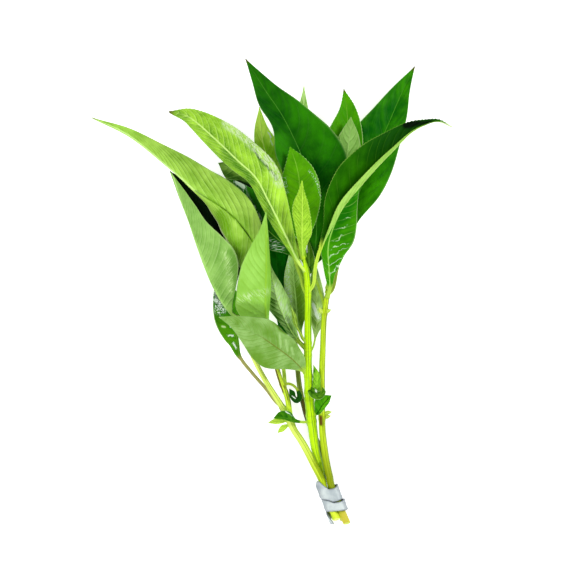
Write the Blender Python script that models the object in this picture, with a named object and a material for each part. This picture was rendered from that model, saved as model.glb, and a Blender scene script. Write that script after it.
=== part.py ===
"""A tied bunch of willow hygrophila, an aquarium stem plant: cut stems held by a wrapped strip of soft metal.

The bunch lies on a table. Metres, +Z up, with the origin on the table under the middle of the bunch.
+Y runs from the cut ends towards the leaf tips. Tables below are in millimetres: an x and y are seen from
above, and z is the height over the table.
"""

import math

import bpy
import numpy as np
from mathutils import Vector

MM = 0.001
UP = np.array((0.0, 0.0, 1.0))

# Shared leaf sizes
BLADE_THICKNESS = 0.55
STALK_RADIUS = 0.75
SMALL_STALK_RADIUS = 0.45
SMALL_LEAF_HALF_WIDTH = 5.0
TIP_RADIUS = 0.16
SHARPEST_FOLD = 0.2
LEAF_STATIONS = 13
SMALL_LEAF_STATIONS = 9
LONG_STALK = 0.2
STALK_STATIONS = 2
SHORTEST_STALK = 0.02
TANGENT_REACH = 0.01
# How far out the points halfway between midrib and margin lie on a flat blade, and on a round stalk
HALFWAY = 0.5
ROUND_HALFWAY = 0.7

# Smooth curves
CURVE_STEPS = 12
FINE_PLACES = 241

# Stems
STEM_STEP = 7.0
STEM_GAP = 0.35
STEM_BEVEL_STEPS = 2

# The metal strip wrapped round the cut ends
STRIP_THICKNESS = 0.9
STRIP_HALF_ACROSS = 5.3
STRIP_HALF_HIGH = 4.8
STRIP_CORNER = 3.0
STRIP_CORNER_STEPS = 6
STRIP_STEPS_PER_TURN = 28
TIE_TOP = Vector((27.75, -97.0, 0.0))
TIE_AXIS = Vector((0.33, -0.944, 0.0)).normalized()

# How the strip winds: turns past the middle of its upper side, where its two edges are along the tie, and how
# far it stands out there
STRIP_WINDING = [
    (-0.21, -0.6, 4.4, 0.4),
    (-0.17, -2.8, 5.2, 0.4),
    (-0.13, -3.9, 6.0, 0.2),
    (-0.09, -3.2, 6.6, 0.0),
    (-0.05, -0.6, 7.4, 0.0),
    (0.0, 1.9, 8.7, 0.0),
    (0.06, 2.3, 9.1, 0.0),
    (0.12, 2.0, 8.9, 0.0),
    (0.25, 0.6, 8.3, -0.1),
    (0.5, 0.9, 8.0, 0.0),
    (0.7, 3.5, 10.4, 0.0),
    (0.79, 4.8, 11.6, 0.0),
    (0.88, 6.5, 12.6, 0.0),
    (1.0, 9.0, 13.6, 0.0),
    (1.06, 9.5, 14.2, 0.1),
    (1.12, 9.7, 14.6, 0.5),
    (1.25, 8.8, 14.6, 0.7),
    (1.36, 8.7, 14.9, 0.0),
    (1.5, 8.6, 15.2, 0.0),
    (1.68, 11.6, 17.2, 0.0),
    (1.78, 13.2, 18.0, 0.0),
    (1.84, 14.8, 18.8, 0.0),
    (1.88, 17.0, 19.3, 0.0),
    (1.9, 18.2, 19.4, 0.0),
]

# Each stem: points along its axis from the cut end up, as x, y, z and radius
STEMS = {
    "main_stem": [
        (32.0, -114.2, 2.9, 1.65),
        (28.6, -105.0, 2.9, 1.65),
        (25.9, -97.6, 2.9, 1.7),
        (25.3, -94.0, 3.2, 1.75),
        (23.8, -86.5, 5.0, 1.9),
        (21.75, -79.0, 6.6, 2.0),
        (20.4, -69.0, 8.8, 2.25),
        (19.5, -62.0, 10.4, 2.3),
        (18.5, -51.5, 13.2, 2.15),
        (18.0, -34.0, 18.0, 1.85),
        (18.0, -16.5, 23.0, 1.7),
        (18.0, -1.5, 27.2, 1.6),
        (17.5, 8.5, 31.0, 1.5),
        (16.0, 17.0, 35.0, 1.1),
    ],
    "left_stem": [
        (32.6, -113.9, 6.7, 1.75),
        (28.5, -105.2, 6.7, 1.7),
        (25.9, -97.7, 6.8, 1.7),
        (24.6, -93.5, 7.1, 1.7),
        (21.0, -86.5, 8.6, 1.7),
        (17.2, -79.0, 9.8, 1.7),
        (14.3, -74.0, 10.6, 1.65),
        (11.0, -69.0, 11.6, 1.65),
        (8.2, -63.0, 12.6, 1.7),
        (5.0, -57.5, 13.6, 1.5),
        (-2.0, -46.5, 15.8, 1.3),
        (-8.0, -35.5, 18.8, 1.15),
        (-14.0, -21.5, 23.8, 1.0),
        (-17.0, -11.5, 28.0, 0.85),
    ],
    "left_branch": [
        (8.6, -58.4, 15.3, 1.3),
        (7.4, -52.0, 16.6, 1.3),
        (5.0, -46.0, 18.0, 1.25),
        (3.0, -40.0, 19.5, 1.2),
        (1.0, -31.5, 22.0, 1.15),
        (-2.0, -21.5, 24.8, 1.1),
        (-4.0, -11.5, 27.6, 1.0),
        (-5.0, -3.0, 30.0, 0.9),
    ],
    "right_stem": [
        (37.6, -116.0, 6.7, 1.8),
        (32.3, -104.0, 6.7, 1.75),
        (29.5, -96.4, 6.8, 1.75),
        (28.8, -92.5, 7.0, 1.75),
        (27.5, -86.5, 8.0, 1.7),
        (26.3, -79.0, 9.2, 1.65),
        (25.2, -69.0, 10.8, 1.6),
        (25.0, -56.5, 12.6, 1.55),
        (25.0, -41.5, 15.2, 1.5),
        (25.5, -26.5, 18.2, 1.4),
        (26.0, -14.0, 21.2, 1.35),
        (27.2, -3.5, 23.8, 1.2),
        (27.6, 1.0, 25.2, 0.9),
    ],
    "back_stem": [
        (35.7, -114.6, 2.9, 1.35),
        (32.2, -104.2, 2.9, 1.35),
        (29.6, -96.6, 2.8, 1.35),
        (28.8, -92.0, 2.6, 1.3),
        (26.4, -84.0, 2.2, 1.25),
        (23.0, -75.5, 2.2, 1.2),
        (18.5, -66.0, 2.8, 1.2),
        (15.6, -56.0, 4.2, 1.2),
        (13.6, -46.0, 5.8, 1.2),
        (12.4, -34.0, 7.2, 1.15),
        (11.0, -19.0, 8.2, 1.1),
        (9.5, -4.0, 8.8, 1.0),
        (8.5, 9.0, 9.4, 0.8),
    ],
}


# A leaf: where its midrib runs from its stem's axis to its tip, the length of its stalk, and the half widths
# of its blade to the left and right. A half width is one number, for a lance that is as wide as that at the
# widest share of the blade, or several, spread evenly from the blade's base to its tip. Each half leans by
# angles that are spread evenly too: 0 lies level, plus rises to the margin, and over 90 folds it across the
# midrib. Left and right are as seen from above, looking along the leaf. top says which face is up.
def leaf(stem, midrib, stalk, half_widths, left, right, top, tint, widest=0.45, taper=1.15):
    return {
        "stem": stem,
        "midrib": midrib,
        "stalk": stalk,
        "half_widths": {"left": half_widths[0], "right": half_widths[1]},
        "left": left,
        "right": right,
        "top": top,
        "tint": tint,
        "widest": widest,
        "taper": taper,
    }


LEAVES = {
    # Front of the crown
    "crown_leaf_left": leaf(
        "main_stem",
        [(17.2, 10.0, 31.7), (13.5, 14.5, 35.5), (7.0, 28.0, 42.5), (-2.0, 46.0, 50.0), (-8.0, 57.0, 53.0),
         (-17.0, 65.5, 54.5), (-28.0, 76.0, 54.0), (-41.0, 87.0, 51.0), (-51.5, 90.0, 47.0)],
        5.0, (13.0, 13.0), (-40, -60, -68, -62, -50), (-40, -26, -18, -24, -55), "under", "lime", widest=0.58,
    ),
    "crown_leaf_young": leaf(
        "main_stem",
        [(16.1, 16.5, 34.8), (15.3, 19.5, 41.0), (15.0, 27.0, 49.0), (15.1, 38.0, 53.5), (15.2, 47.0, 56.0),
         (15.0, 55.5, 57.5)],
        3.0,
        ((1.0, 1.5, 2.2, 3.2, 4.4, 5.4, 4.8, 2.2, 0.0), (1.0, 1.7, 3.2, 5.1, 4.9, 4.2, 2.9, 1.1, 0.0)),
        (-20, -25, -20), (-15, -20, -15), "under", "lime",
    ),
    "crown_leaf_middle": leaf(
        "main_stem",
        [(16.3, 15.5, 34.2), (15.8, 22.0, 37.0), (14.5, 38.0, 40.5), (13.7, 55.0, 41.5), (12.0, 64.0, 41.0),
         (9.0, 72.5, 39.0)],
        6.0, (10.5, 10.5), (-5, -10, 0), (8, 5, 0), "upper", "mid green", widest=0.55,
    ),
    "crown_leaf_folded": leaf(
        "main_stem",
        [(18.0, 0.0, 27.5), (21.0, 4.0, 31.5), (22.2, 14.0, 36.5), (25.0, 23.0, 40.0), (29.5, 32.0, 42.5),
         (36.0, 43.2, 44.5), (44.3, 53.2, 45.0), (52.8, 62.8, 45.0), (60.5, 70.7, 43.0), (69.0, 79.2, 40.0),
         (76.0, 83.3, 38.0), (83.0, 85.2, 36.0), (90.2, 82.4, 33.0)],
        26.0,
        ((0.8, 4.8, 11.6, 15.8, 14.6, 10.8, 6.4, 2.0, 0.0), (0.8, 4.4, 7.8, 8.4, 7.2, 5.2, 3.4, 2.0, 0.0)),
        (35, 22, 10), (100, 108, 107, 98, 85), "upper", "deep green",
    ),
    # Back of the crown
    "top_leaf_left": leaf(
        "main_stem",
        [(17.2, 11.0, 32.2), (20.5, 16.0, 31.0), (22.0, 26.0, 31.0), (22.0, 42.0, 31.0), (18.5, 57.0, 30.5),
         (14.0, 70.0, 29.0), (5.5, 87.5, 26.0), (-3.5, 101.0, 21.0), (-13.2, 116.65, 15.0)],
        10.0,
        ((2.4, 8.4, 11.0, 14.0, 15.2, 9.4, 9.0, 4.4, 0.0), (1.6, 5.5, 13.5, 21.2, 19.6, 13.8, 8.2, 4.0, 0.0)),
        (10, 38, 38), (0, 5, 0), "upper", "deep green",
    ),
    "top_leaf_right": leaf(
        "right_stem",
        [(27.4, -1.5, 24.4), (30.6, 2.5, 20.5), (33.0, 15.0, 18.0), (37.5, 32.0, 16.5), (43.5, 49.0, 15.0),
         (51.0, 67.0, 13.0), (58.5, 84.5, 10.0), (65.0, 99.5, 5.5), (71.5, 113.0, 0.4)],
        14.0,
        ((1.0, 4.0, 8.5, 13.0, 15.4, 14.6, 10.0, 5.2, 0.0), (0.8, 2.2, 6.0, 12.9, 14.6, 12.6, 9.1, 4.0, 0.0)),
        (0, 5, 0), (35, 42, 30), "upper", "deep green",
    ),
    "top_leaf_middle": leaf(
        "right_stem",
        [(27.3, -3.0, 23.9), (28.6, 6.0, 24.2), (31.0, 25.0, 23.5), (34.0, 45.0, 23.0), (37.0, 62.0, 22.5),
         (38.0, 78.0, 21.0), (37.5, 91.0, 19.5), (36.0, 101.5, 17.0)],
        26.0,
        ((0.8, 3.0, 6.0, 9.0, 11.0, 11.5, 9.4, 3.8, 0.0), (0.8, 2.5, 5.0, 7.0, 8.0, 8.0, 7.0, 4.5, 0.0)),
        (10, 10, 10), (10, 10, 10), "upper", "mid green",
    ),
    "top_leaf_pale": leaf(
        "right_stem",
        [(27.5, 0.0, 24.9), (29.5, 9.0, 27.2), (31.5, 20.0, 28.2), (33.5, 40.0, 28.6), (36.0, 58.0, 28.6),
         (38.5, 76.0, 28.0), (39.5, 87.5, 27.5)],
        20.0, (7.0, 7.0), (5, 5, 5), (-15, -20, -15), "under", "sage", widest=0.6,
    ),
    "top_leaf_hidden": leaf(
        "right_stem",
        [(26.6, -8.0, 22.7), (23.5, 2.0, 21.5), (20.5, 11.0, 22.0), (18.5, 30.0, 23.5), (16.0, 55.0, 23.5),
         (15.5, 80.0, 20.5), (15.7, 92.0, 18.0), (16.0, 103.0, 15.0)],
        26.0, (6.0, 6.0), (10, 8, 5), (10, 8, 5), "under", "sage", widest=0.5,
    ),
    "top_leaf_small": leaf(
        "main_stem",
        [(17.8, 3.5, 28.8), (15.6, 6.5, 26.0), (12.8, 13.0, 24.6), (9.0, 28.0, 23.6), (2.0, 52.0, 22.0),
         (-2.8, 68.0, 20.0), (-5.2, 79.0, 18.0), (-6.3, 92.5, 14.5)],
        16.0,
        ((1.0, 1.8, 2.6, 3.2, 3.8, 4.2, 4.4, 3.0, 0.0), (1.0, 2.5, 4.0, 5.2, 6.3, 6.9, 7.1, 4.6, 0.0)),
        (0, 0, 0), (0, 0, 0), "under", "lime",
    ),
    "right_glossy_leaf": leaf(
        "right_stem",
        [(27.0, -5.0, 23.4), (28.8, 2.0, 27.0), (28.5, 11.0, 30.0), (28.0, 21.0, 32.0), (29.5, 29.0, 33.0),
         (34.0, 40.0, 33.5), (39.0, 49.0, 33.0), (44.5, 57.0, 32.0)],
        7.0,
        ((0.6, 2.2, 3.1, 3.8, 3.7, 3.3, 2.3, 1.2, 0.0), (0.7, 2.8, 7.2, 11.2, 12.2, 10.6, 7.5, 3.8, 0.0)),
        (20, 15, 10), (-8, -10, -10), "upper", "mid green",
    ),
    # Left of the crown
    "left_long_leaf": leaf(
        "left_branch",
        [(-5.0, -4.5, 29.6), (-6.0, 8.0, 31.5), (-9.0, 22.0, 33.0), (-18.5, 37.0, 33.0), (-28.5, 44.5, 32.5),
         (-38.5, 51.0, 31.5), (-50.0, 61.0, 30.0), (-71.0, 78.0, 25.0), (-90.0, 87.2, 19.0)],
        4.0,
        ((4.0, 10.2, 10.8, 10.8, 7.0, 6.0, 5.0, 2.8, 0.0), (2.5, 4.5, 9.8, 13.2, 13.0, 10.2, 6.1, 2.8, 0.0)),
        (-10, -15, -80, -84, -65), (-25, -18, -14, -18, -25), "under", "pale green",
    ),
    "left_folded_leaf": leaf(
        "left_stem",
        [(-16.5, -13.5, 27.0), (-20.5, -11.0, 27.5), (-25.0, -5.5, 27.5), (-30.0, 3.5, 27.0),
         (-34.0, 13.0, 26.0), (-38.0, 24.0, 24.5), (-42.0, 36.0, 23.0), (-46.5, 47.5, 22.0),
         (-51.0, 60.5, 21.0)],
        5.0,
        ((1.8, 12.6, 18.8, 19.2, 14.8, 9.4, 6.8, 4.0, 0.0),
         (1.2, 9.5, 17.0, 19.5, 18.5, 15.5, 12.0, 8.0, 0.0)),
        (135, 150, 150, 148, 135), (0, -8, -6, -2, 0), "upper", "sage",
    ),
    "left_dark_leaf": leaf(
        "main_stem",
        [(18.0, -2.0, 27.0), (15.6, 2.0, 27.4), (14.2, 8.0, 27.8), (11.5, 16.0, 28.2), (8.0, 22.0, 27.6),
         (-2.0, 31.0, 26.0), (-11.0, 43.5, 24.5), (-18.5, 53.5, 23.0), (-25.0, 61.0, 21.2)],
        20.0, (9.5, 9.5), (15, 10, 5), (10, 5, 5), "upper", "deep green", widest=0.45,
    ),
    "left_dull_leaf": leaf(
        "main_stem",
        [(16.4, 15.0, 34.0), (11.0, 25.0, 35.5), (4.5, 38.0, 36.5), (0.0, 46.0, 36.5), (-5.0, 51.0, 36.0),
         (-11.0, 55.5, 35.5), (-18.5, 60.5, 34.0), (-26.8, 64.5, 31.5)],
        22.0,
        ((0.6, 1.2, 1.8, 2.0, 2.4, 3.4, 4.6, 4.4, 0.0), (0.6, 2.0, 3.2, 4.0, 4.6, 5.0, 4.6, 3.6, 0.0)),
        (-20, -20, -25), (-10, -10, -10), "under", "dull green",
    ),
    "left_low_leaf": leaf(
        "left_stem",
        [(5.5, -58.0, 13.2), (1.5, -54.5, 10.5), (-3.0, -48.5, 8.5), (-10.0, -40.5, 8.0), (-16.0, -32.5, 8.0),
         (-17.5, -24.0, 8.0), (-20.0, -13.0, 7.0), (-24.0, -1.5, 5.0), (-28.5, 10.0, 2.0)],
        33.0, (8.8, 10.5), (0, -6, -5), (35, 35, 30), "upper", "deep green", widest=0.48, taper=1.3,
    ),
    # Front, below the crown
    "front_pale_leaf": leaf(
        "left_branch",
        [(0.0, -26.5, 23.2), (-1.5, -20.0, 30.5), (-3.0, -12.5, 36.5), (-3.2, 0.0, 42.0), (-2.8, 12.0, 45.5),
         (-2.8, 21.0, 47.0), (-2.8, 30.0, 47.5), (-3.0, 40.0, 46.5)],
        5.0,
        ((2.0, 8.5, 15.2, 15.0, 14.0, 12.2, 8.1, 3.4, 0.0), (1.5, 3.5, 5.4, 6.0, 5.6, 4.8, 3.6, 2.0, 0.0)),
        (-25, -12, -20), (-62, -64, -72), "under", "pale green",
    ),
    "front_low_leaf": leaf(
        "main_stem",
        [(18.0, -42.0, 14.9), (15.0, -38.4, 19.0), (9.0, -32.5, 27.5), (1.5, -27.0, 35.0),
         (-5.0, -22.5, 39.0), (-11.0, -19.3, 41.0), (-18.5, -15.7, 41.5), (-26.5, -12.5, 41.0)],
        4.5,
        ((0.9, 5.4, 9.6, 12.2, 12.0, 10.2, 6.3, 2.5, 0.0), (1.2, 4.9, 7.0, 9.4, 10.3, 10.8, 7.5, 3.8, 0.0)),
        (-15, -10, -10), (20, 32, 20), "under", "sage",
    ),
    "mid_pale_leaf": leaf(
        "main_stem",
        [(18.0, -29.0, 18.6), (15.0, -26.5, 20.5), (10.5, -21.0, 21.5), (6.0, -13.0, 22.5), (2.5, -4.0, 23.5),
         (0.5, 5.0, 24.0), (-1.0, 14.0, 24.5)],
        7.0, (6.5, 6.5), (-5, -10, -10), (-20, -20, -10), "under", "sage", widest=0.45,
    ),
    "mid_dark_leaf": leaf(
        "left_branch",
        [(6.3, -49.8, 16.4), (6.4, -45.0, 13.8), (5.5, -35.0, 13.0), (4.5, -20.0, 13.0), (4.0, -8.0, 13.5),
         (3.0, 5.0, 13.5), (2.0, 20.0, 12.5), (0.0, 35.0, 10.0)],
        24.0, (11.0, 11.0), (5, 5, 5), (5, 5, 5), "upper", "deep green", widest=0.45,
    ),
    "mid_shadow_leaf": leaf(
        "main_stem",
        [(18.0, -25.5, 19.7), (15.0, -22.5, 18.7), (12.8, -14.0, 19.0), (12.0, -4.0, 20.0), (11.0, 6.0, 21.0),
         (10.5, 16.0, 22.0), (10.0, 26.0, 22.5)],
        6.0, (6.5, 7.0), (-25, -35, -25), (-10, -5, -10), "under", "dull green", widest=0.45,
    ),
    "mid_right_leaf": leaf(
        "main_stem",
        [(18.0, -31.5, 17.8), (20.8, -27.0, 16.5), (22.2, -18.0, 15.5), (22.8, -10.0, 15.0),
         (22.0, 0.0, 14.8), (21.5, 10.0, 14.8), (21.0, 20.0, 15.0)],
        9.0, (4.3, 4.3), (10, 10, 10), (10, 10, 10), "under", "dull green", widest=0.4,
    ),
    # Under the bunch, on the table
    "under_leaf_left": leaf(
        "back_stem",
        [(9.3, -2.0, 8.9), (4.5, 1.0, 7.0), (-5.0, 14.0, 4.8), (-14.0, 29.0, 2.2), (-23.0, 43.0, 0.6),
         (-29.0, 52.0, 0.3)],
        7.0, (9.0, 9.0), (3, 3, 3), (3, 3, 3), "upper", "deep green", widest=0.45,
    ),
    "under_leaf_middle": leaf(
        "back_stem",
        [(8.5, 8.0, 9.3), (7.0, 15.0, 8.8), (4.5, 30.0, 6.5), (0.5, 50.0, 3.2), (-2.5, 68.0, 0.7),
         (-4.0, 80.0, 0.3)],
        8.0, (8.0, 8.0), (3, 3, 3), (3, 3, 3), "upper", "deep green", widest=0.42,
    ),
    "under_leaf_right": leaf(
        "back_stem",
        [(9.0, 2.0, 9.1), (13.5, 7.0, 8.0), (22.0, 19.0, 7.4), (30.0, 34.0, 6.0), (40.0, 52.0, 3.2),
         (49.0, 69.0, 0.8), (55.0, 81.0, 0.3)],
        9.0, (8.0, 8.0), (3, 3, 3), (3, 3, 3), "upper", "deep green", widest=0.45,
    ),
    # Small leaves at the lower joints of the stems
    "joint_leaf_right": leaf(
        "main_stem",
        [(19.5, -61.5, 9.1), (22.6, -60.6, 13.5), (25.3, -56.6, 15.5), (27.9, -53.6, 16.5),
         (29.8, -51.8, 16.5)],
        4.0, ((0.6, 2.6, 4.6, 3.6, 0.0), (0.6, 1.6, 2.0, 1.8, 0.0)),
        (5, 5, 5), (10, 10, 0), "upper", "mid green",
    ),
    "joint_leaf_curled": leaf(
        "main_stem",
        [(18.5, -50.0, 12.2), (19.0, -48.6, 15.5), (20.8, -50.6, 17.6), (23.3, -51.8, 18.3),
         (25.6, -50.0, 18.6), (25.2, -47.6, 18.8)],
        2.0, ((0.5, 2.0, 2.3, 1.7, 0.0), (0.5, 2.0, 2.3, 1.7, 0.0)),
        (20, 10, 10), (20, 10, 10), "upper", "deep green",
    ),
    "joint_shoot": leaf(
        "main_stem",
        [(18.7, -53.5, 11.2), (21.9, -51.2, 14.8), (22.3, -46.0, 17.2), (22.1, -41.0, 18.2),
         (20.8, -36.6, 18.8)],
        3.0, ((0.8, 1.8, 2.0, 1.6, 0.0), (0.8, 1.8, 2.0, 1.6, 0.0)),
        (10, 10, 10), (10, 10, 10), "under", "lime",
    ),
    "joint_leaf_left": leaf(
        "main_stem",
        [(19.7, -64.5, 8.3), (16.4, -65.2, 12.8), (11.5, -64.6, 16.6), (6.0, -62.8, 17.6),
         (0.6, -63.2, 16.6)],
        8.5, ((0.5, 0.9, 1.2, 1.0, 0.0), (0.5, 1.3, 3.6, 3.0, 0.0)),
        (-20, -20, -10), (10, 10, 5), "upper", "deep green",
    ),
    "joint_leaflet_a": leaf(
        "left_stem",
        [(9.0, -64.5, 12.2), (5.2, -64.6, 14.0), (1.5, -64.8, 14.0), (-2.0, -65.6, 13.4)],
        1.6, (1.5, 1.5), (10, 10, 5), (10, 10, 5), "upper", "lime", widest=0.5,
    ),
    "joint_leaflet_b": leaf(
        "left_stem",
        [(10.0, -66.2, 11.9), (7.0, -67.2, 12.8), (5.2, -68.4, 12.6), (2.8, -70.6, 12.0)],
        1.6, (1.5, 1.5), (10, 10, 5), (10, 10, 5), "upper", "lime", widest=0.5,
    ),
    "curled_leaf": leaf(
        "left_branch",
        [(5.2, -46.5, 17.4), (8.2, -45.9, 19.6), (11.0, -47.0, 20.3), (13.0, -49.6, 20.3),
         (13.6, -52.4, 20.0), (12.4, -54.2, 19.6), (10.6, -52.8, 19.4), (9.4, -50.4, 19.3),
         (8.7, -48.4, 19.2)],
        9.5, ((0.5, 1.4, 1.5, 1.2, 0.0), (0.5, 1.0, 1.2, 1.3, 1.3, 1.7, 2.1, 1.6, 0.0)),
        (10, -10, 0), (10, 20, 10), "upper", "deep green",
    ),
    "axil_leaf": leaf(
        "main_stem",
        [(18.0, -27.5, 19.1), (15.5, -23.0, 23.5), (12.2, -17.0, 24.5), (10.8, -11.0, 25.5),
         (9.0, -6.5, 26.5)],
        12.0, (1.2, 1.2), (0, 0, 0), (0, 0, 0), "under", "lime", widest=0.4,
    ),
    "bract_right_a": leaf(
        "right_stem",
        [(25.3, -62.0, 11.3), (27.4, -60.6, 12.8), (30.0, -60.0, 13.4)],
        0.8, (1.0, 1.0), (0, 0, 0), (0, 0, 0), "upper", "lime", widest=0.5,
    ),
    "bract_right_b": leaf(
        "right_stem",
        [(25.4, -63.5, 11.1), (27.4, -62.6, 12.2), (29.4, -62.0, 12.6)],
        0.8, (0.9, 0.9), (0, 0, 0), (0, 0, 0), "upper", "lime", widest=0.5,
    ),
    "bract_upper_right": leaf(
        "right_stem",
        [(26.3, -10.5, 22.1), (28.2, -9.4, 23.4), (29.5, -8.8, 23.8)],
        0.6, (0.9, 0.9), (0, 0, 0), (0, 0, 0), "upper", "lime", widest=0.5,
    ),
    "bract_upper_left": leaf(
        "right_stem",
        [(26.2, -11.0, 22.0), (24.4, -9.4, 23.6), (23.8, -7.6, 24.2)],
        0.6, (1.0, 1.0), (0, 0, 0), (0, 0, 0), "upper", "lime", widest=0.5,
    ),
}

STEM_TINTS = {
    "main_stem": "neon stem",
    "left_stem": "yellow stem",
    "left_branch": "yellow stem",
    "right_stem": "olive stem",
    "back_stem": "dark stem",
}

COLOURS = {
    "deep green": (0.012, 0.13, 0.006, 1.0),
    "mid green": (0.06, 0.34, 0.008, 1.0),
    "lime": (0.31, 0.66, 0.03, 1.0),
    "pale green": (0.33, 0.68, 0.10, 1.0),
    "sage": (0.22, 0.48, 0.11, 1.0),
    "dull green": (0.10, 0.22, 0.05, 1.0),
    "neon stem": (0.50, 0.85, 0.01, 1.0),
    "yellow stem": (0.60, 0.78, 0.10, 1.0),
    "olive stem": (0.36, 0.52, 0.02, 1.0),
    "dark stem": (0.08, 0.10, 0.02, 1.0),
    "soft metal": (0.62, 0.66, 0.68, 1.0),
}
LEAF_ROUGHNESS = 0.35
STEM_ROUGHNESS = 0.4
STRIP_ROUGHNESS = 0.45


def paint(made, tint, roughness, metallic=0.0):
    """Give an object a material of its own."""
    finish = bpy.data.materials.new(made.name)
    finish.use_nodes = True
    shader = finish.node_tree.nodes["Principled BSDF"]
    shader.inputs["Base Color"].default_value = COLOURS[tint]
    shader.inputs["Roughness"].default_value = roughness
    shader.inputs["Metallic"].default_value = metallic
    made.data.materials.append(finish)


def smooth_path(points, shares):
    """Points at these shares of the length of a smooth curve through the given points, and that length."""
    through = np.array(points, float)
    padded = np.vstack([2 * through[0] - through[1], through, 2 * through[-1] - through[-2]])
    fine = []
    for i in range(len(through) - 1):
        before, start, end, after = padded[i : i + 4]
        for u in np.linspace(0, 1, CURVE_STEPS, endpoint=False):
            bend = -before + 3 * start - 3 * end + after
            sag = 2 * before - 5 * start + 4 * end - after
            fine.append(start + 0.5 * ((end - before) * u + sag * u**2 + bend * u**3))
    fine = np.array(fine + [through[-1]])
    steps = np.linalg.norm(np.diff(fine[:, :3], axis=0), axis=1)
    along = np.concatenate([[0.0], np.cumsum(steps)])
    wanted = np.asarray(shares) * along[-1]
    columns = [np.interp(wanted, along, fine[:, k]) for k in range(fine.shape[1])]
    return np.column_stack(columns), along[-1]


def smooth_value(values, share):
    """A value that runs smoothly through the given ones, which are evenly spread over shares 0 to 1."""
    spots = np.linspace(0, 1, len(values))
    slopes = np.gradient(np.array(values, float), spots)
    i = min(int(share * (len(values) - 1)), len(values) - 2)
    gap = spots[i + 1] - spots[i]
    u = (share - spots[i]) / gap
    start, end = values[i] * (1 + 2 * u) * (1 - u) ** 2, values[i + 1] * (3 - 2 * u) * u**2
    return start + end + gap * (slopes[i] * u * (1 - u) ** 2 - slopes[i + 1] * (1 - u) * u**2)


def unit(vector):
    return vector / np.linalg.norm(vector)


def start_clear_of(stem, path):
    """The share of a path at which it has left the stem that it grows from, with the gap between them."""
    axis, _ = smooth_path(STEMS[stem], np.linspace(0, 1, FINE_PLACES))
    for share, point in zip(np.linspace(0, 1, len(path)), path):
        distance = np.linalg.norm(axis[:, :3] - point, axis=1)
        nearest = distance.argmin()
        if distance[nearest] > axis[nearest, 3] + STALK_RADIUS + STEM_GAP:
            return share
    raise ValueError(f"a leaf never leaves {stem}")


def blade_share(spec, along, length):
    return np.clip((along - spec["stalk"]) / (length - spec["stalk"]), 0.0, 1.0)


def half_width(spec, side, share):
    """How wide one half of a blade is at this share of its length."""
    given = spec["half_widths"][side]
    if isinstance(given, tuple):
        return max(0.0, smooth_value(given, share))
    widest, taper = spec["widest"], spec["taper"]
    tip_taper = taper * (1 - widest) / widest
    return given * (share / widest) ** taper * ((1 - share) / (1 - widest)) ** tip_taper


def greatest_half_width(spec):
    return max(np.max(given) for given in spec["half_widths"].values())


def leaf_section(spec, point, tangent, share, stalk_radius):
    """Eight points round a leaf: from the right margin over the top to the left margin, and back below."""
    left_side = unit(np.cross(UP, tangent))
    above = np.cross(tangent, left_side)
    radius = stalk_radius + (TIP_RADIUS - stalk_radius) * share
    width = {side: math.hypot(half_width(spec, side, share), radius) for side in ("left", "right")}
    roundness = radius**2 / (width["left"] * width["right"])
    # Where the leaf is round its two halves don't fold, but they keep the tilt that both share
    left_lean, right_lean = (math.radians(smooth_value(spec[side], share)) for side in ("left", "right"))
    fold, tilt = (left_lean + right_lean) / 2 * (1 - roundness), (left_lean - right_lean) / 2
    lean = {"left": fold + tilt, "right": fold - tilt}
    outward = {
        "left": math.cos(lean["left"]) * left_side + math.sin(lean["left"]) * above,
        "right": -math.cos(lean["right"]) * left_side + math.sin(lean["right"]) * above,
    }
    normal = {
        "left": -math.sin(lean["left"]) * left_side + math.cos(lean["left"]) * above,
        "right": math.sin(lean["right"]) * left_side + math.cos(lean["right"]) * above,
    }
    middle = unit(normal["left"] + normal["right"])
    half_thickness = min(BLADE_THICKNESS / 2, radius)
    # In the valley of a fold, the face lies deeper than half the thickness
    valley = half_thickness / max(float(np.dot(normal["left"], middle)), SHARPEST_FOLD)
    above_reach, below_reach = half_thickness, half_thickness
    if lean["left"] + lean["right"] > 0:
        above_reach = valley
    else:
        below_reach = valley
    halfway_share = HALFWAY + (ROUND_HALFWAY - HALFWAY) * roundness
    halfway = {side: width[side] * halfway_share for side in ("left", "right")}
    lift = half_thickness + (ROUND_HALFWAY * radius - half_thickness) * roundness
    above_reach = max(above_reach, radius if spec["top"] == "under" else radius * roundness)
    below_reach = max(below_reach, radius if spec["top"] == "upper" else radius * roundness)
    margin = {side: point + width[side] * outward[side] for side in ("left", "right")}
    middle_of = {side: point + halfway[side] * outward[side] for side in ("left", "right")}
    return [
        margin["right"],
        middle_of["right"] + lift * normal["right"],
        point + above_reach * middle,
        middle_of["left"] + lift * normal["left"],
        margin["left"],
        middle_of["left"] - lift * normal["left"],
        point - below_reach * middle,
        middle_of["right"] - lift * normal["right"],
    ]


def closed_loft(name, sections):
    """One closed solid through rings of points, with its two ends filled."""
    ring = len(sections[0])
    points = [tuple(np.array(p) * MM) for section in sections for p in section]
    faces = []
    for s in range(len(sections) - 1):
        for k in range(ring):
            a, b = s * ring + k, s * ring + (k + 1) % ring
            faces.append((a, a + ring, b + ring, b))
    faces.append(tuple(range(ring)))
    faces.append(tuple(reversed(range(len(points) - ring, len(points)))))
    mesh = bpy.data.meshes.new(name)
    mesh.from_pydata(points, [], faces)
    mesh.update()
    return mesh


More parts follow.
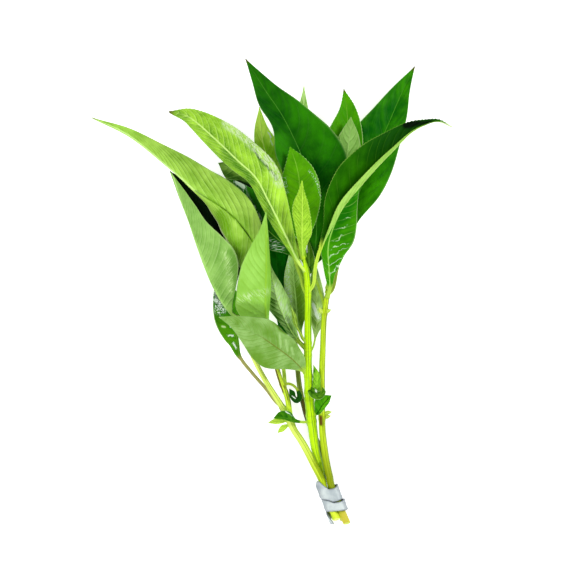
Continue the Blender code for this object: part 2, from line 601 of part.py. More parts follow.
def add_leaf(name, spec, collection):
    path, length = smooth_path(spec["midrib"], np.linspace(0, 1, FINE_PLACES))
    start = start_clear_of(spec["stem"], path)
    small = greatest_half_width(spec) < SMALL_LEAF_HALF_WIDTH
    stations = SMALL_LEAF_STATIONS if small else LEAF_STATIONS
    stalk_radius = SMALL_STALK_RADIUS if small else STALK_RADIUS
    stalk_end = max(start + SHORTEST_STALK, spec["stalk"] / length)
    # One station at the stalk's start, and the others spread over the blade
    shares = np.concatenate([[start], np.linspace(stalk_end, 1.0, stations - 1)])
    if stalk_end - start > LONG_STALK:
        shares = np.insert(shares, 1, np.linspace(start, stalk_end, STALK_STATIONS + 2)[1:-1])
    places, _ = smooth_path(spec["midrib"], shares)
    ahead, _ = smooth_path(spec["midrib"], np.clip(shares + TANGENT_REACH, 0, 1))
    behind, _ = smooth_path(spec["midrib"], np.clip(shares - TANGENT_REACH, 0, 1))
    sections = []
    for place, tangent, share in zip(places, ahead - behind, shares):
        on_blade = blade_share(spec, share * length, length)
        sections.append(leaf_section(spec, place, unit(tangent), on_blade, stalk_radius))
    made = bpy.data.objects.new(name, closed_loft(name, sections))
    made.data.shade_smooth()
    paint(made, spec["tint"], LEAF_ROUGHNESS)
    collection.objects.link(made)


def add_stem(name, points, collection):
    """A round stem: a bevelled curve whose radius changes along it, with filled ends."""
    _, length = smooth_path(points, [0, 1])
    places, _ = smooth_path(points, np.linspace(0, 1, max(3, round(length / STEM_STEP))))
    curve = bpy.data.curves.new(name, "CURVE")
    curve.dimensions = "3D"
    curve.bevel_depth = MM
    curve.bevel_resolution = STEM_BEVEL_STEPS
    curve.use_fill_caps = True
    spline = curve.splines.new("POLY")
    spline.points.add(len(places) - 1)
    for point, (x, y, z, radius) in zip(spline.points, places):
        point.co = (x * MM, y * MM, z * MM, 1.0)
        point.radius = radius
    made = bpy.data.objects.new(name, curve)
    paint(made, STEM_TINTS[name], STEM_ROUGHNESS)
    collection.objects.link(made)


def wrap_outline():
    """Rows round the rounded rectangle that the strip follows, from the middle of its top.

    Each row is a place, across and high, and the two parts of the outward direction there.
    """
    flat_across = STRIP_HALF_ACROSS - STRIP_CORNER
    flat_high = STRIP_HALF_HIGH - STRIP_CORNER
    rows = [(0.0, STRIP_HALF_HIGH, 0.0, 1.0)]
    for quarter, (side, level) in enumerate(((1, 1), (1, -1), (-1, -1), (-1, 1))):
        for angle in np.linspace(quarter, quarter + 1, STRIP_CORNER_STEPS) * math.pi / 2:
            out_side, out_height = math.sin(angle), math.cos(angle)
            across = side * flat_across + STRIP_CORNER * out_side
            high = level * flat_high + STRIP_CORNER * out_height
            rows.append((across, high, out_side, out_height))
    return np.array(rows + rows[:1])


def add_strip(name, collection):
    """The metal strip: a flat band wound round the cut ends, each turn beside the one before."""
    across = Vector((-TIE_AXIS.y, TIE_AXIS.x, 0.0))
    outline = wrap_outline()
    steps_round = np.linalg.norm(np.diff(outline[:, :2], axis=0), axis=1)
    reached = np.concatenate([[0.0], np.cumsum(steps_round)]) / steps_round.sum()
    turns, near_edge, far_edge, stands_out = zip(*STRIP_WINDING)
    steps = round((turns[-1] - turns[0]) * STRIP_STEPS_PER_TURN)
    sections = []
    for turn in np.linspace(turns[0], turns[-1], steps + 1):
        side, height, out_side, out_height = (np.interp(turn % 1.0, reached, column) for column in outline.T)
        outward = across * out_side + Vector((0.0, 0.0, out_height))
        outer = TIE_TOP + across * side + Vector((0.0, 0.0, height + STRIP_HALF_HIGH))
        outer += outward * np.interp(turn, turns, stands_out)
        inner = outer - STRIP_THICKNESS * outward
        near = TIE_AXIS * np.interp(turn, turns, near_edge)
        far = TIE_AXIS * np.interp(turn, turns, far_edge)
        sections.append([inner + near, inner + far, outer + far, outer + near])
    made = bpy.data.objects.new(name, closed_loft(name, sections))
    paint(made, "soft metal", STRIP_ROUGHNESS, 1.0)
    collection.objects.link(made)


def main():
    for existing in list(bpy.data.objects):
        bpy.data.objects.remove(existing)
    collection = bpy.data.collections.new("willow_hygrophila")
    bpy.context.scene.collection.children.link(collection)
    for name, points in STEMS.items():
        add_stem(name, points, collection)
    for name, spec in LEAVES.items():
        add_leaf(name, spec, collection)
    add_strip("metal_strip", collection)


main()
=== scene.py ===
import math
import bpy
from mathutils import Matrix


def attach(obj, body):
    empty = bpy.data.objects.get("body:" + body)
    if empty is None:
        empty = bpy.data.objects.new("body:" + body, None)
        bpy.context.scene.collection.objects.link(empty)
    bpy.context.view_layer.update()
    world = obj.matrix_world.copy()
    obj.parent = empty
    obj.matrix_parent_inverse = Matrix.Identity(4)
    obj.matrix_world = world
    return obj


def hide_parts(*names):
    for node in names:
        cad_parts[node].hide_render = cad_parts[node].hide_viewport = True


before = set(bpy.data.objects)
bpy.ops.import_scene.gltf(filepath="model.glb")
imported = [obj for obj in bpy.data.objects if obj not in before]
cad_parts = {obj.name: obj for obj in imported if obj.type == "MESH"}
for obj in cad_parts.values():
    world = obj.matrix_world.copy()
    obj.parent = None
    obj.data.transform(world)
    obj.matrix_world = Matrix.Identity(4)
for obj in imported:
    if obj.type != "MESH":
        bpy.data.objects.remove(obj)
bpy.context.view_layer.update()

# The looks of a tied bunch of willow hygrophila, an aquarium stem plant, lying on a white table.
# Each leaf, stem and the metal strip gets a fine surface in the place of its plain solid.
# Tables are in millimetres and degrees: x and y are seen from above, and z is the height over the table.
# Colours are as the eye sees them, 0 to 255.
from types import SimpleNamespace

import bpy
import numpy as np
from mathutils import Vector, noise

MM = 0.001
UP = np.array((0, 0, 1))
LEFT, RIGHT = 0, 1

# The metal strip wrapped round the cut ends
STRIP_THICKNESS = 0.9
STRIP_HALF_ACROSS = 5.3
STRIP_HALF_HIGH = 4.8
STRIP_CORNER = 3
TIE_TOP = np.array((27.75, -97, 0))
TIE_AXIS = np.array((0.33, -0.944, 0))
TIE_AXIS /= np.linalg.norm(TIE_AXIS)
TIE_ACROSS = np.cross(UP, TIE_AXIS)

# How the strip winds: turns past the middle of its upper side, where its two edges are along the tie, and
# how far it stands out there
STRIP_WINDING = [
    (-0.21, -0.6, 4.4, 0.4), (-0.17, -2.8, 5.2, 0.4), (-0.13, -3.9, 6, 0.2), (-0.09, -3.2, 6.6, 0),
    (-0.05, -0.6, 7.4, 0), (0, 1.9, 8.7, 0), (0.06, 2.3, 9.1, 0), (0.12, 2, 8.9, 0), (0.25, 0.6, 8.3, -0.1),
    (0.5, 0.9, 8, 0), (0.7, 3.5, 10.4, 0), (0.79, 4.8, 11.6, 0), (0.88, 6.15, 12.6, 0),
    (0.94, 7.2, 13.1, 0), (1, 9, 13.6, 0), (1.06, 9.5, 14.2, 0.1), (1.12, 9.7, 14.6, 0.5),
    (1.25, 8.8, 14.6, 0.7), (1.36, 8.7, 14.9, 0), (1.5, 8.6, 15.2, 0), (1.68, 11.6, 17.2, 0),
    (1.78, 13.2, 18, 0), (1.84, 14.8, 18.8, 0), (1.88, 17, 19.3, 0), (1.9, 18.2, 19.4, 0),
]

# A stroke is a soft line of lighter or darker green, that is painted light and shade, or on the stems also
# of scars,
# or of painted glints in wet places: how strong it is, how wide, and then the x and y of each point that it
# runs through, as seen from above. Minus is darker.
STEMS, LEAVES = {}, {}


def stem(name, *values):
    """A stem: its material slot, which is not used, its greens, low down near the tie and at the cut too,
    its strokes, and points along its axis from the cut end up, as x, y, z and radius."""
    columns = "slot dark light low end tone points".split()
    STEMS[name] = SimpleNamespace(**dict(zip(columns, values)))


stem("main_stem", "neon_stem", (120, 172, 0), (204, 252, 6), (190, 228, 6), (226, 248, 70),
    [(-0.5, 1.5, 17, -60, 16.5, -66), (-1, 0.8, 24, -86, 22.6, -94)],
    [(32, -114.2, 2.9, 1.65), (28.6, -105, 2.9, 1.65), (25.9, -97.6, 2.9, 1.7), (25.3, -94, 3.2, 1.75),
    (23.8, -86.5, 5, 1.9), (21.75, -79, 6.6, 2), (20.4, -69, 8.8, 2.25), (19.5, -62, 10.4, 2.3),
    (18.5, -51.5, 13.2, 2.15), (18, -34, 18, 1.85), (18, -16.5, 23, 1.7), (18, -1.5, 27.2, 1.6),
    (17.5, 8.5, 31, 1.5), (16, 17, 35, 1.1)])
stem("left_stem", "yellow_stem", (146, 172, 14), (228, 250, 110), (200, 230, 30), (226, 250, 60),
    [(-0.6, 1.2, 21, -84, 24.5, -93)],
    [(32.6, -113.9, 6.7, 1.75), (28.5, -105.2, 6.7, 1.7), (25.9, -97.7, 6.8, 1.7), (24.6, -93.5, 7.1, 1.7),
    (21, -86.5, 8.6, 1.7), (17.2, -79, 9.8, 1.7), (14.3, -74, 10.6, 1.65), (11, -69, 11.6, 1.65),
    (8.2, -63, 12.6, 1.7), (5, -57.5, 13.6, 1.5), (-2, -46.5, 15.8, 1.3), (-8, -35.5, 18.8, 1.15),
    (-14, -21.5, 23.8, 1), (-17, -11.5, 28, 0.85)])
stem("left_branch", "yellow_stem", (122, 136, 14), (206, 240, 50), (206, 240, 50), (206, 240, 50),
    [(-1.9, 0.45, 1.8, -38.5, 3.8, -45, 5.2, -50), (-1.2, 0.3, 6, -47, 8, -54)],
    [(8.6, -58.4, 15.3, 1.3), (7.4, -52, 16.6, 1.3), (5, -46, 18, 1.25), (3, -40, 19.5, 1.2),
    (1, -31.5, 22, 1.15), (-2, -21.5, 24.8, 1.1), (-4, -11.5, 27.6, 1), (-5, -3, 30, 0.9)])
stem("right_stem", "olive_stem", (126, 148, 4), (202, 234, 34), (146, 164, 10), (206, 198, 62),
    [(-2.4, 0.8, 24.4, -62.6, 24.6, -66.2)],
    [(37.6, -116, 6.7, 1.8), (32.3, -104, 6.7, 1.75), (29.5, -96.4, 6.8, 1.75), (28.8, -92.5, 7, 1.75),
    (27.5, -86.5, 8, 1.7), (26.3, -79, 9.2, 1.65), (25.2, -69, 10.8, 1.6), (25, -56.5, 12.6, 1.55),
    (25, -41.5, 15.2, 1.5), (25.5, -26.5, 18.2, 1.4), (26, -14, 21.2, 1.35), (27.2, -3.5, 23.8, 1.2),
    (27.6, 1, 25.2, 0.9)])
stem("back_stem", "dark_stem", (54, 72, 8), (116, 136, 42), (90, 110, 20), (206, 200, 70),
    [(-1.6, 1.4, 15.4, -55, 16.8, -63)],
    [(35.7, -114.6, 2.9, 1.35), (32.2, -104.2, 2.9, 1.35), (29.6, -96.6, 2.8, 1.35), (28.8, -92, 2.6, 1.3),
    (26.4, -84, 2.2, 1.25), (23, -75.5, 2.2, 1.2), (18.5, -66, 2.8, 1.2), (15.6, -56, 4.2, 1.2),
    (13.6, -46, 5.8, 1.2), (12.4, -34, 7.2, 1.15), (11, -19, 8.2, 1.1), (9.5, -4, 8.8, 1),
    (8.5, 9, 9.4, 0.8)])
# The shoot that forks off starts inside the stem it grows from
FORK_START = (9.4, -62.6, 13.3, 1.1)

# What a leaf has where its own row says nothing else: its form in millimetres and degrees, how far its veins
# sweep to its tip, how many there are a side and how many rows of mesh to each, its midrib, how strong its
# marks and its painted vein shade are, the colours of its stalk and of its other face, and its painted
# glints in wet places
PLAIN_LEAF = dict(
    widest=0.45, taper=1.15, flare=0.55, cup=4, quilt=0.2, teeth=0, sweep=0.18, veins=14, rows=8,
    rib_half=0.16, rib_span=(-1, 0.9), stripes=0.5, vein=0.35, net=0.5, mottling=0.5, edge=0.3, tip=0,
    pale_margin=0, stalk_colour=(176, 212, 70), back=None, wet_kind="cells", gloss=(236, 248, 236),
    tone=(), wet=(),
)


def leaf(name, *values, **changes):
    """A leaf: its stem, where its midrib runs from the stem's axis to the leaf's tip, the length of its
    stalk, the half widths of its left and right, how these lean, which face is up, and its material, which
    is not used. Then come the dark, the light and the midrib of the face it shows, and what else is its own.

    A half width is one number, for a lance that is as wide as that at its widest share of the blade, or
    several, spread evenly from the blade's base to its tip, where it is 0. A lean is one angle or several:
    0 lies level, plus rises to the margin, and over 90 folds the half across the midrib. Left and right are
    as seen from above, looking along the leaf."""
    columns = "stem midrib stalk half_widths left right top tint dark light rib".split()
    LEAVES[name] = SimpleNamespace(**{**PLAIN_LEAF, **dict(zip(columns, values)), **changes})


# The face of a leaf that the table's side sees: deep green above, pale green below
HIDDEN_UPPER = ((14, 84, 3), (48, 128, 8), (92, 160, 40))
HIDDEN_UNDER = ((112, 168, 62), (158, 212, 102), (190, 235, 130))
# Looks that several leaves share
LOW_DEEP = dict(dark=(0, 84, 0), light=(34, 130, 4), rib=(60, 130, 30), veins=10)
BRACT = dict(dark=(160, 192, 50), light=(214, 238, 100), rib=(224, 248, 130), veins=3, rib_half=0.1)
LEAFLET = dict(
    dark=(142, 180, 34), light=(210, 246, 84), rib=(190, 230, 80), veins=4, rib_half=0.12, edge=0.6,
)
TOP_LEAF = dict(vein=0.15, net=0.15, mottling=0.6, edge=0.1, tip=0.8)

# Front of the crown
leaf("crown_leaf_left", "main_stem", [(17.2, 10, 31.7), (13.5, 14.5, 35.5), (7, 28, 42.5), (-2, 46, 50),
    (-8, 57, 53), (-17, 65.5, 54.5), (-28, 76, 54), (-41, 87, 51), (-51.5, 90, 47)], 5, (13, 13),
    (-40, -60, -68, -62, -50), (-40, -26, -18, -24, -55), "under", "lime",
    (64, 128, 0), (186, 242, 66), (216, 252, 140), widest=0.58, stalk_colour=(214, 248, 110),
    gloss=(208, 228, 180), rib_half=0.26, veins=24, rows=10, sweep=0.17, stripes=0.3, vein=0.5, net=1.2,
    mottling=0.55, cup=6, teeth=0.22, tip=0.8, tone=[(-2, 0.45, -9, 71, -6, 66, -2, 62, 0.5, 59.5, 2.5, 56),
    (-0.5, 3, -23, 70, -16, 63, -9, 55), (0.7, 3.5, 2, 53, 7, 44, 11, 33), (-0.5, 3, -5, 51, 0, 39)],
    wet=[(1.1, 3.2, -22, 84, -14.5, 79, -7, 72, 0, 64, 4, 55)])
leaf("crown_leaf_young", "main_stem", [(16.1, 16.5, 34.8), (15.3, 19.5, 41), (15, 27, 49), (15.1, 38, 53.5),
    (15.2, 47, 56), (15, 55.5, 57.5)], 3, ((0.3, 1.2, 2.2, 3.2, 4.4, 5.4, 4.8, 2.2),
    (0.3, 1.3, 3.2, 5.1, 4.9, 4.2, 2.9, 1.1)), (-20, -25, -20), (-15, -20, -15), "under", "lime",
    (94, 158, 0), (184, 236, 64), (196, 240, 84), stalk_colour=(200, 240, 40), veins=16, rows=10,
    sweep=0.13, stripes=0.45, net=3, mottling=0.7, quilt=0.28, teeth=0.25, flare=0)
leaf("crown_leaf_middle", "main_stem", [(16.3, 15.5, 34.2), (15.8, 22, 37), (14.5, 38, 40.5),
    (13.7, 55, 41.5), (12, 64, 41), (9, 72.5, 39)], 6, ((0.6, 3.2, 6.9, 9.2, 10.4, 10, 8, 4.4),
    (0.6, 3.2, 6.9, 9.2, 10.4, 10, 8, 4.4)), (-5, -10, 0), (8, 5, 0), "upper", "mid_green",
    (54, 130, 0), (104, 188, 6), (136, 200, 56), stalk_colour=(120, 176, 16), rows=14, sweep=0.14,
    stripes=0.25, net=0.3, quilt=0.16, teeth=0.3, wet_kind="drops",
    wet=[(0.7, 0.9, 18.5, 60.5, 21, 57.5, 23, 53.5, 24.5, 47), (0.8, 1.2, 6, 57, 7.5, 50)])
leaf("crown_leaf_folded", "main_stem", [(18, 0, 27.5), (21, 4, 31.5), (22.2, 14, 36.5), (25, 23, 40),
    (29.5, 32, 42.5), (36, 43.2, 44.5), (44.3, 53.2, 45), (52.8, 62.8, 45), (60.5, 70.7, 43),
    (69, 79.2, 40), (76, 83.3, 38), (83, 85.2, 36), (90.2, 82.4, 33)], 26,
    ((0.8, 4.8, 11.6, 15.8, 14.6, 10.8, 6.4, 2), (0.8, 4.4, 7.8, 8.4, 7.2, 5.2, 3.4, 2)), (35, 22, 10),
    (100, 108, 107, 98, 85), "upper", "deep_green",
    (14, 76, 0), (48, 124, 0), (84, 150, 30), stalk_colour=(206, 240, 80), veins=16, rows=14, sweep=0.16,
    stripes=0.3, net=0.2, cup=5, teeth=0.45, edge=0,
    back=((126, 180, 54), (186, 234, 110), (206, 244, 140)), tone=[(-1.1, 4.5, 49, 69, 59, 77.5, 68, 82.5),
    (-1.8, 2, 67, 84, 79, 84.8), (1.8, 1.4, 84.5, 84.5, 90, 82.5)])
# Back of the crown
leaf("top_leaf_left", "main_stem", [(17.2, 11, 32.2), (20.5, 16, 31), (22, 26, 31), (22, 42, 31),
    (18.5, 57, 30.5), (14, 70, 29), (5.5, 87.5, 26), (-3.5, 101, 21), (-13.2, 116.65, 15)], 10,
    ((2.4, 8.4, 11, 14, 15.2, 9.4, 9, 4.4), (1.6, 5.5, 13.5, 21.2, 19.6, 13.8, 8.2, 4)), (10, 38, 38),
    (0, 5, 0), "upper", "deep_green",
    # Its stalk, under the crown, is painted dark green for the shade there
    (0, 74, 0), (44, 132, 0), (88, 160, 50), stalk_colour=(26, 84, 4), rib_half=0.13, stripes=0.25,
    **TOP_LEAF, tone=[(0.6, 6, 14, 92, 20, 86), (0.8, 4, 3.5, 76, 7, 68), (-0.7, 6, 14, 66, 25, 57),
    (-0.6, 5, -5, 97, 4, 83.5)])
leaf("top_leaf_right", "right_stem", [(27.4, -1.5, 24.4), (30.6, 2.5, 20.5), (33, 15, 18), (37.5, 32, 16.5),
    (43.5, 49, 15), (51, 67, 13), (58.5, 84.5, 10), (65, 99.5, 5.5), (71.5, 113, 0.4)], 14,
    ((1, 4, 8.5, 13, 15.4, 14.6, 10, 5.2), (0.8, 2.2, 6, 12.9, 14.6, 12.6, 9.1, 4)), (0, 5, 0),
    (35, 42, 30), "upper", "deep_green",
    (0, 90, 0), (58, 150, 0), (84, 158, 40), stalk_colour=(150, 170, 60), rib_half=0.12, stripes=0.3,
    **TOP_LEAF, tone=[(0.7, 5, 48, 42, 54, 52), (-0.6, 6, 47, 81, 60, 90)])
leaf("top_leaf_middle", "right_stem", [(27.3, -3, 23.9), (28.6, 6, 24.2), (31, 25, 23.5), (34, 45, 23),
    (37, 62, 22.5), (38, 78, 21), (37.5, 91, 19.5), (36, 101.5, 17)], 26,
    ((0.8, 3, 6, 9, 11, 11.5, 9.4, 3.8), (0.8, 2.5, 5, 7, 8, 8, 7, 4.5)), 10, 10, "upper", "mid_green",
    (40, 130, 0), (88, 176, 0), (120, 184, 50), veins=12, rows=12, stripes=0.3, net=0.2, teeth=0.2,
    edge=0.5, tip=0.8)
leaf("top_leaf_pale", "right_stem", [(27.5, 0, 24.9), (29.5, 9, 27.2), (31.5, 20, 28.2), (33.5, 40, 28.6),
    (36, 58, 28.6), (38.5, 76, 28), (39.5, 87.5, 27.5)], 20, ((1, 1.6, 2.6, 4, 5.4, 6.6, 7, 4.6),
    (1, 1.6, 2.6, 4, 5.4, 6.6, 7, 4.6)), 5, (-15, -20, -15), "under", "sage",
    (100, 148, 52), (156, 204, 108), (166, 206, 118), rib_half=0.3, net=1.4, edge=0.7)
leaf("top_leaf_hidden", "right_stem", [(26.6, -8, 22.7), (23.5, 2, 21.5), (20.5, 11, 22), (18.5, 30, 23.5),
    (16, 55, 23.5), (15.5, 80, 20.5), (15.7, 92, 18), (16, 103, 15)], 26, (6, 6), (10, 8, 5), (10, 8, 5),
    "under", "sage",
    (120, 180, 60), (222, 255, 164), (224, 255, 170), widest=0.5, rib_half=0.3, veins=12)
leaf("top_leaf_small", "main_stem", [(17.8, 3.5, 28.8), (15.6, 6.5, 26), (12.8, 13, 24.6), (9, 28, 23.6),
    (2, 52, 22), (-2.8, 68, 20), (-5.2, 79, 18), (-6.3, 92.5, 14.5)], 16,
    ((1, 1.8, 2.6, 3.2, 3.8, 4.2, 4.4, 3), (1, 2.5, 4, 5.2, 6.3, 6.9, 7.1, 3.2)), 0, 0, "under", "lime",
    (150, 208, 30), (224, 255, 108), (232, 255, 140), rib_half=0.2, veins=12, stripes=0.3,
    tone=[(-0.9, 3.5, -5, 72, 0, 69), (0.7, 2.5, -6.5, 89, -5, 80)], wet=[(2, 0.4, -2, 80, -0.5, 77.5),
    (2, 0.4, -0.8, 76, 0.2, 73.5)])
leaf("right_glossy_leaf", "right_stem", [(27, -5, 23.4), (28.8, 2, 27), (28.5, 11, 30), (28, 21, 32),
    (29.5, 29, 33), (34, 40, 33.5), (39, 49, 33), (44.5, 57, 32)], 7,
    ((0.6, 2.2, 3.1, 3.8, 3.7, 3.3, 2.3, 1.2), (0.7, 2.8, 7.2, 11.2, 12.2, 10.6, 7.5, 3.8)), (20, 15, 10),
    (-8, -10, -10), "upper", "mid_green",
    (22, 112, 0), (82, 174, 6), (166, 224, 96), gloss=(206, 240, 190), rib_half=0.26, veins=13, rows=12,
    sweep=0.14, stripes=0.3, quilt=0.34, edge=0.4, wet_kind="veins",
    tone=[(-0.7, 3, 31, 30, 37, 40, 40, 46)], wet=[(0.9, 4.5, 31, 12, 34, 24),
    (0.8, 1.6, 32, 28, 38, 36.5)])
# Left of the crown
leaf("left_long_leaf", "left_branch", [(-5, -4.5, 29.6), (-6, 8, 31.5), (-9, 22, 33), (-18.5, 37, 33),
    (-28.5, 44.5, 32.5), (-38.5, 51, 31.5), (-50, 61, 30), (-71, 78, 25), (-90, 87.2, 19)], 4,
    ((4, 10.2, 10.8, 10.8, 7, 6, 5, 2.8), (2.5, 4.5, 9.8, 13.2, 13, 10.2, 6.1, 2.8)),
    (-10, -15, -80, -84, -65), (-25, -18, -14, -18, -25), "under", "pale",
    (118, 178, 26), (206, 255, 108), (212, 252, 150), rib_half=0.24, rib_span=(0.5, 0.97), veins=26,
    sweep=(-0.2, 0.24), stripes=0.36, vein=0.45, net=0.6, cup=5, quilt=0.17, tip=0.5, pale_margin=1,
    tone=[(-1.7, 0.35, -38.5, 50.8, -34.2, 48, -28.8, 44.8, -23.3, 41, -17.9, 36.3, -13.5,
    30.6, -9.7, 25.2), (-0.9, 2.6, -26, 39, -21, 28, -16, 19), (-0.5, 4, -13, 33, -8, 24),
    (0.7, 4, -11, 43.5, -7.5, 38.5, -6.5, 30),
    (1.5, 0.35, -49.5, 58.5, -44.5, 56.5, -40.2, 51.8, -36, 46, -32.6, 41, -28.8, 34, -23,
    23.5, -16.2, 11)])
# Its upper face, inside the fold, is painted near-black green for the shade in the fold
leaf("left_folded_leaf", "left_stem", [(-16.5, -13.5, 27), (-20.5, -11, 27.5), (-25, -5.5, 27.5),
    (-30, 3.5, 27), (-34, 13, 26), (-38, 24, 24.5), (-42, 36, 23), (-46.5, 47.5, 22), (-51, 60.5, 21)], 5,
    ((1.8, 12.6, 18.8, 19.2, 14.8, 9.4, 6.8, 4), (1.2, 9.5, 17, 19.5, 18.5, 15.5, 12, 8)),
    (135, 150, 150, 148, 135), (0, -8, -6, -2, 0), "upper", "sage",
    (0, 12, 0), (6, 34, 2), (12, 50, 8), stalk_colour=(132, 176, 74), gloss=(196, 228, 152), veins=24,
    sweep=0.24, stripes=0.4, net=0.6, cup=5, wet_kind="streaks",
    back=((106, 160, 58), (168, 220, 112), (200, 234, 156)),
    tone=[(-1, 1.6, -20, 20, -18, 8.5, -17.5, -4, -18, -12),
    (1.4, 0.4, -50, 60, -44, 40, -36, 18.5, -26, -4, -19.5, -13)],
    wet=[(0.8, 2.2, -24, 21, -21.5, 11, -20.5, 1)])
leaf("left_dark_leaf", "main_stem", [(18, -2, 27), (15.6, 2, 27.4), (14.2, 8, 27.8), (11.5, 16, 28.2),
    (8, 22, 27.6), (-2, 31, 26), (-11, 43.5, 24.5), (-18.5, 53.5, 23), (-25, 61, 21.2)], 20, (9.5, 9.5),
    (15, 10, 5), (10, 5, 5), "upper", "deep_green",
    (0, 76, 0), (48, 136, 10), (130, 186, 70), gloss=(226, 244, 222), wet_kind="streaks",
    wet=[(0.9, 2.8, -1, 25, 4, 21.5), (2.6, 1.3, -17.5, 55, -14.5, 52.8), (0.7, 1.2, -13.5, 51, -5, 35)])
leaf("left_dull_leaf", "main_stem", [(16.4, 15, 34), (11, 25, 35.5), (4.5, 38, 36.5), (0, 46, 36.5),
    (-5, 51, 36), (-11, 55.5, 35.5), (-18.5, 60.5, 34), (-26.8, 64.5, 31.5)], 22,
    ((0.6, 1.2, 1.8, 2, 2.4, 3.2, 4.4, 5.8), (0.6, 2, 3.2, 4, 4.6, 5, 4.6, 4)), (-20, -20, -25), -10,
    "under", "dull",
    (38, 78, 6), (112, 152, 56), (130, 172, 84), veins=10, tone=[(-2.2, 1.6, -16, 54.5, -10, 52.5),
    (-0.8, 1.6, -24, 59, -17, 55.5), (0.5, 1.6, -25, 63.5, -17, 60)])
leaf("left_low_leaf", "left_stem", [(5.5, -58, 13.2), (1.5, -54.5, 10.5), (-3, -48.5, 8.5), (-10, -40.5, 8),
    (-16, -32.5, 8), (-17.5, -24, 8), (-20, -13, 7), (-24, -1.5, 5), (-28.5, 10, 2)], 33,
    ((0.5, 3.2, 6.3, 8.3, 8.8, 7.8, 5.6, 2.6), (0.5, 0.7, 1, 3, 8, 9.3, 6.7, 3.1)), (0, -6, -5),
    (35, 35, 30), "upper", "deep_green",
    (26, 104, 0), (86, 160, 12), (110, 150, 50), stalk_colour=(166, 164, 96), rib_half=0.2, veins=12,
    rows=12, quilt=0.3, edge=0.5, wet_kind="spots", tone=[(-1.7, 1.8, -29, 2, -26.5, -6),
    (1.3, 0.8, -25, -17.2, -23.5, -17.5), (0.6, 3.5, -25, -19, -20, -30)],
    wet=[(1.3, 3, -29.5, 2, -26, -8.5), (2, 0.5, -22, -21.8, -19.5, -21.8),
    (2, 0.6, -19.5, -25.5, -18, -28), (2, 0.4, -21, -17.5, -20.7, -17.8)])
# Front, below the crown
leaf("front_pale_leaf", "left_branch", [(0, -26.5, 23.2), (-1.5, -20, 30.5), (-3, -12.5, 36.5),
    (-3.2, 0, 42), (-2.8, 12, 45.5), (-2.8, 21, 47), (-2.8, 30, 47.5), (-3, 40, 46.5)], 5,
    ((2, 8.5, 15.2, 15, 14, 12.2, 8.1, 3.4), (1, 2.4, 4.4, 5.6, 5.6, 4.8, 3.6, 2)), (-25, -12, -20),
    (-62, -64, -72), "under", "pale",
    (136, 196, 62), (166, 224, 100), (150, 204, 56), gloss=(208, 240, 168), rib_half=0.45, veins=16,
    sweep=0.22, stripes=0.4, net=0.8, mottling=0.6, quilt=0.22, edge=0.1, wet_kind="streaks",
    tone=[(-1.1, 1.5, -1.8, 26, -1, 10, -2, -10), (0.4, 5, -11, 15, -8, 8)],
    wet=[(0.75, 3.2, -16.5, -3.5, -9, -2, -3, 0)])
leaf("front_low_leaf", "main_stem", [(18, -42, 14.9), (15, -38.4, 19), (9, -32.5, 27.5), (1.5, -27, 35),
    (-5, -22.5, 39), (-11, -19.3, 41), (-18.5, -15.7, 41.5), (-26.5, -12.5, 41)], 4.5,
    ((0.9, 5.4, 9.6, 12.2, 12, 10.2, 6.3, 2.5), (1.2, 4.9, 7, 9.4, 10.3, 10.8, 7.5, 3.8)), (-15, -10, -10),
    (20, 32, 20), "under", "sage",
    (104, 156, 46), (162, 206, 120), (122, 132, 46), rib_half=0.24, rib_span=(-1, 0.58), veins=20, rows=6,
    sweep=0.2, stripes=0.3, vein=0.2, net=1.2, mottling=0.8, quilt=0.15, edge=0.1,
    tone=[(-0.7, 5, -12, -32, -2, -37), (-0.5, 2.5, -2, -19, 2, -26, 12, -32),
    (1.3, 0.5, 3.8, -21.5, 4.5, -27.5), (1.3, 0.5, 6.8, -24, 7.8, -29.5), (1.3, 0.5, 9.8, -28, 10.5, -31),
    (-1.6, 0.8, 2, -15, 4, -18.5, 7, -20.5)])
leaf("mid_pale_leaf", "main_stem", [(18, -29, 18.6), (15, -26.5, 20.5), (10.5, -21, 21.5), (6, -13, 22.5),
    (2.5, -4, 23.5), (0.5, 5, 24), (-1, 14, 24.5)], 7, ((0.8, 2, 2.5, 4, 5.6, 6.2, 5.4, 3.4),
    (0.8, 2.9, 5.1, 6.3, 6.4, 5.5, 3.9, 1.7)), (-5, -10, -10), (-20, -20, -10), "under", "sage",
    (52, 108, 8), (200, 248, 144), (170, 214, 104), gloss=(226, 246, 214), vein=0.5, mottling=0.8,
    wet_kind="streaks", tone=[(0.9, 2.5, 2.5, 1, 7, -11), (-0.8, 2.5, 0, -4, 2, -13)],
    wet=[(1, 2.4, 1.5, 3, 5, -5, 8, -14)])
leaf("mid_dark_leaf", "left_branch", [(6.3, -49.8, 16.4), (6.4, -45, 13.8), (5.5, -35, 13), (4.5, -20, 13),
    (4, -8, 13.5), (3, 5, 13.5), (2, 20, 12.5), (0, 35, 10)], 24, ((0.6, 0.9, 2.8, 8.5, 11, 10, 7.5, 4),
    (0.6, 4.8, 8.7, 10.7, 10.9, 9.4, 6.5, 2.9)), 5, 5, "upper", "deep_green",
    (0, 80, 0), (20, 134, 10), (40, 130, 24), veins=10, stripes=0.2)
leaf("mid_shadow_leaf", "main_stem", [(18, -25.5, 19.7), (15, -22.5, 18.7), (12.8, -14, 19), (12, -4, 20),
    (11, 6, 21), (10.5, 16, 22), (10, 26, 22.5)], 6, (6.5, 7), (-25, -35, -25), (-10, -5, -10), "under",
    "dull",
    (86, 132, 22), (182, 230, 124), (166, 212, 112), gloss=(206, 230, 196), rows=12, wet_kind="spots",
    tone=[(0.9, 2, 7.5, 17, 7, 5, 9.5, -7), (-1.2, 3, 13.5, 1, 15.5, -14)],
    wet=[(1.2, 1.8, 7.5, 18, 7, 6, 8.5, -4)])
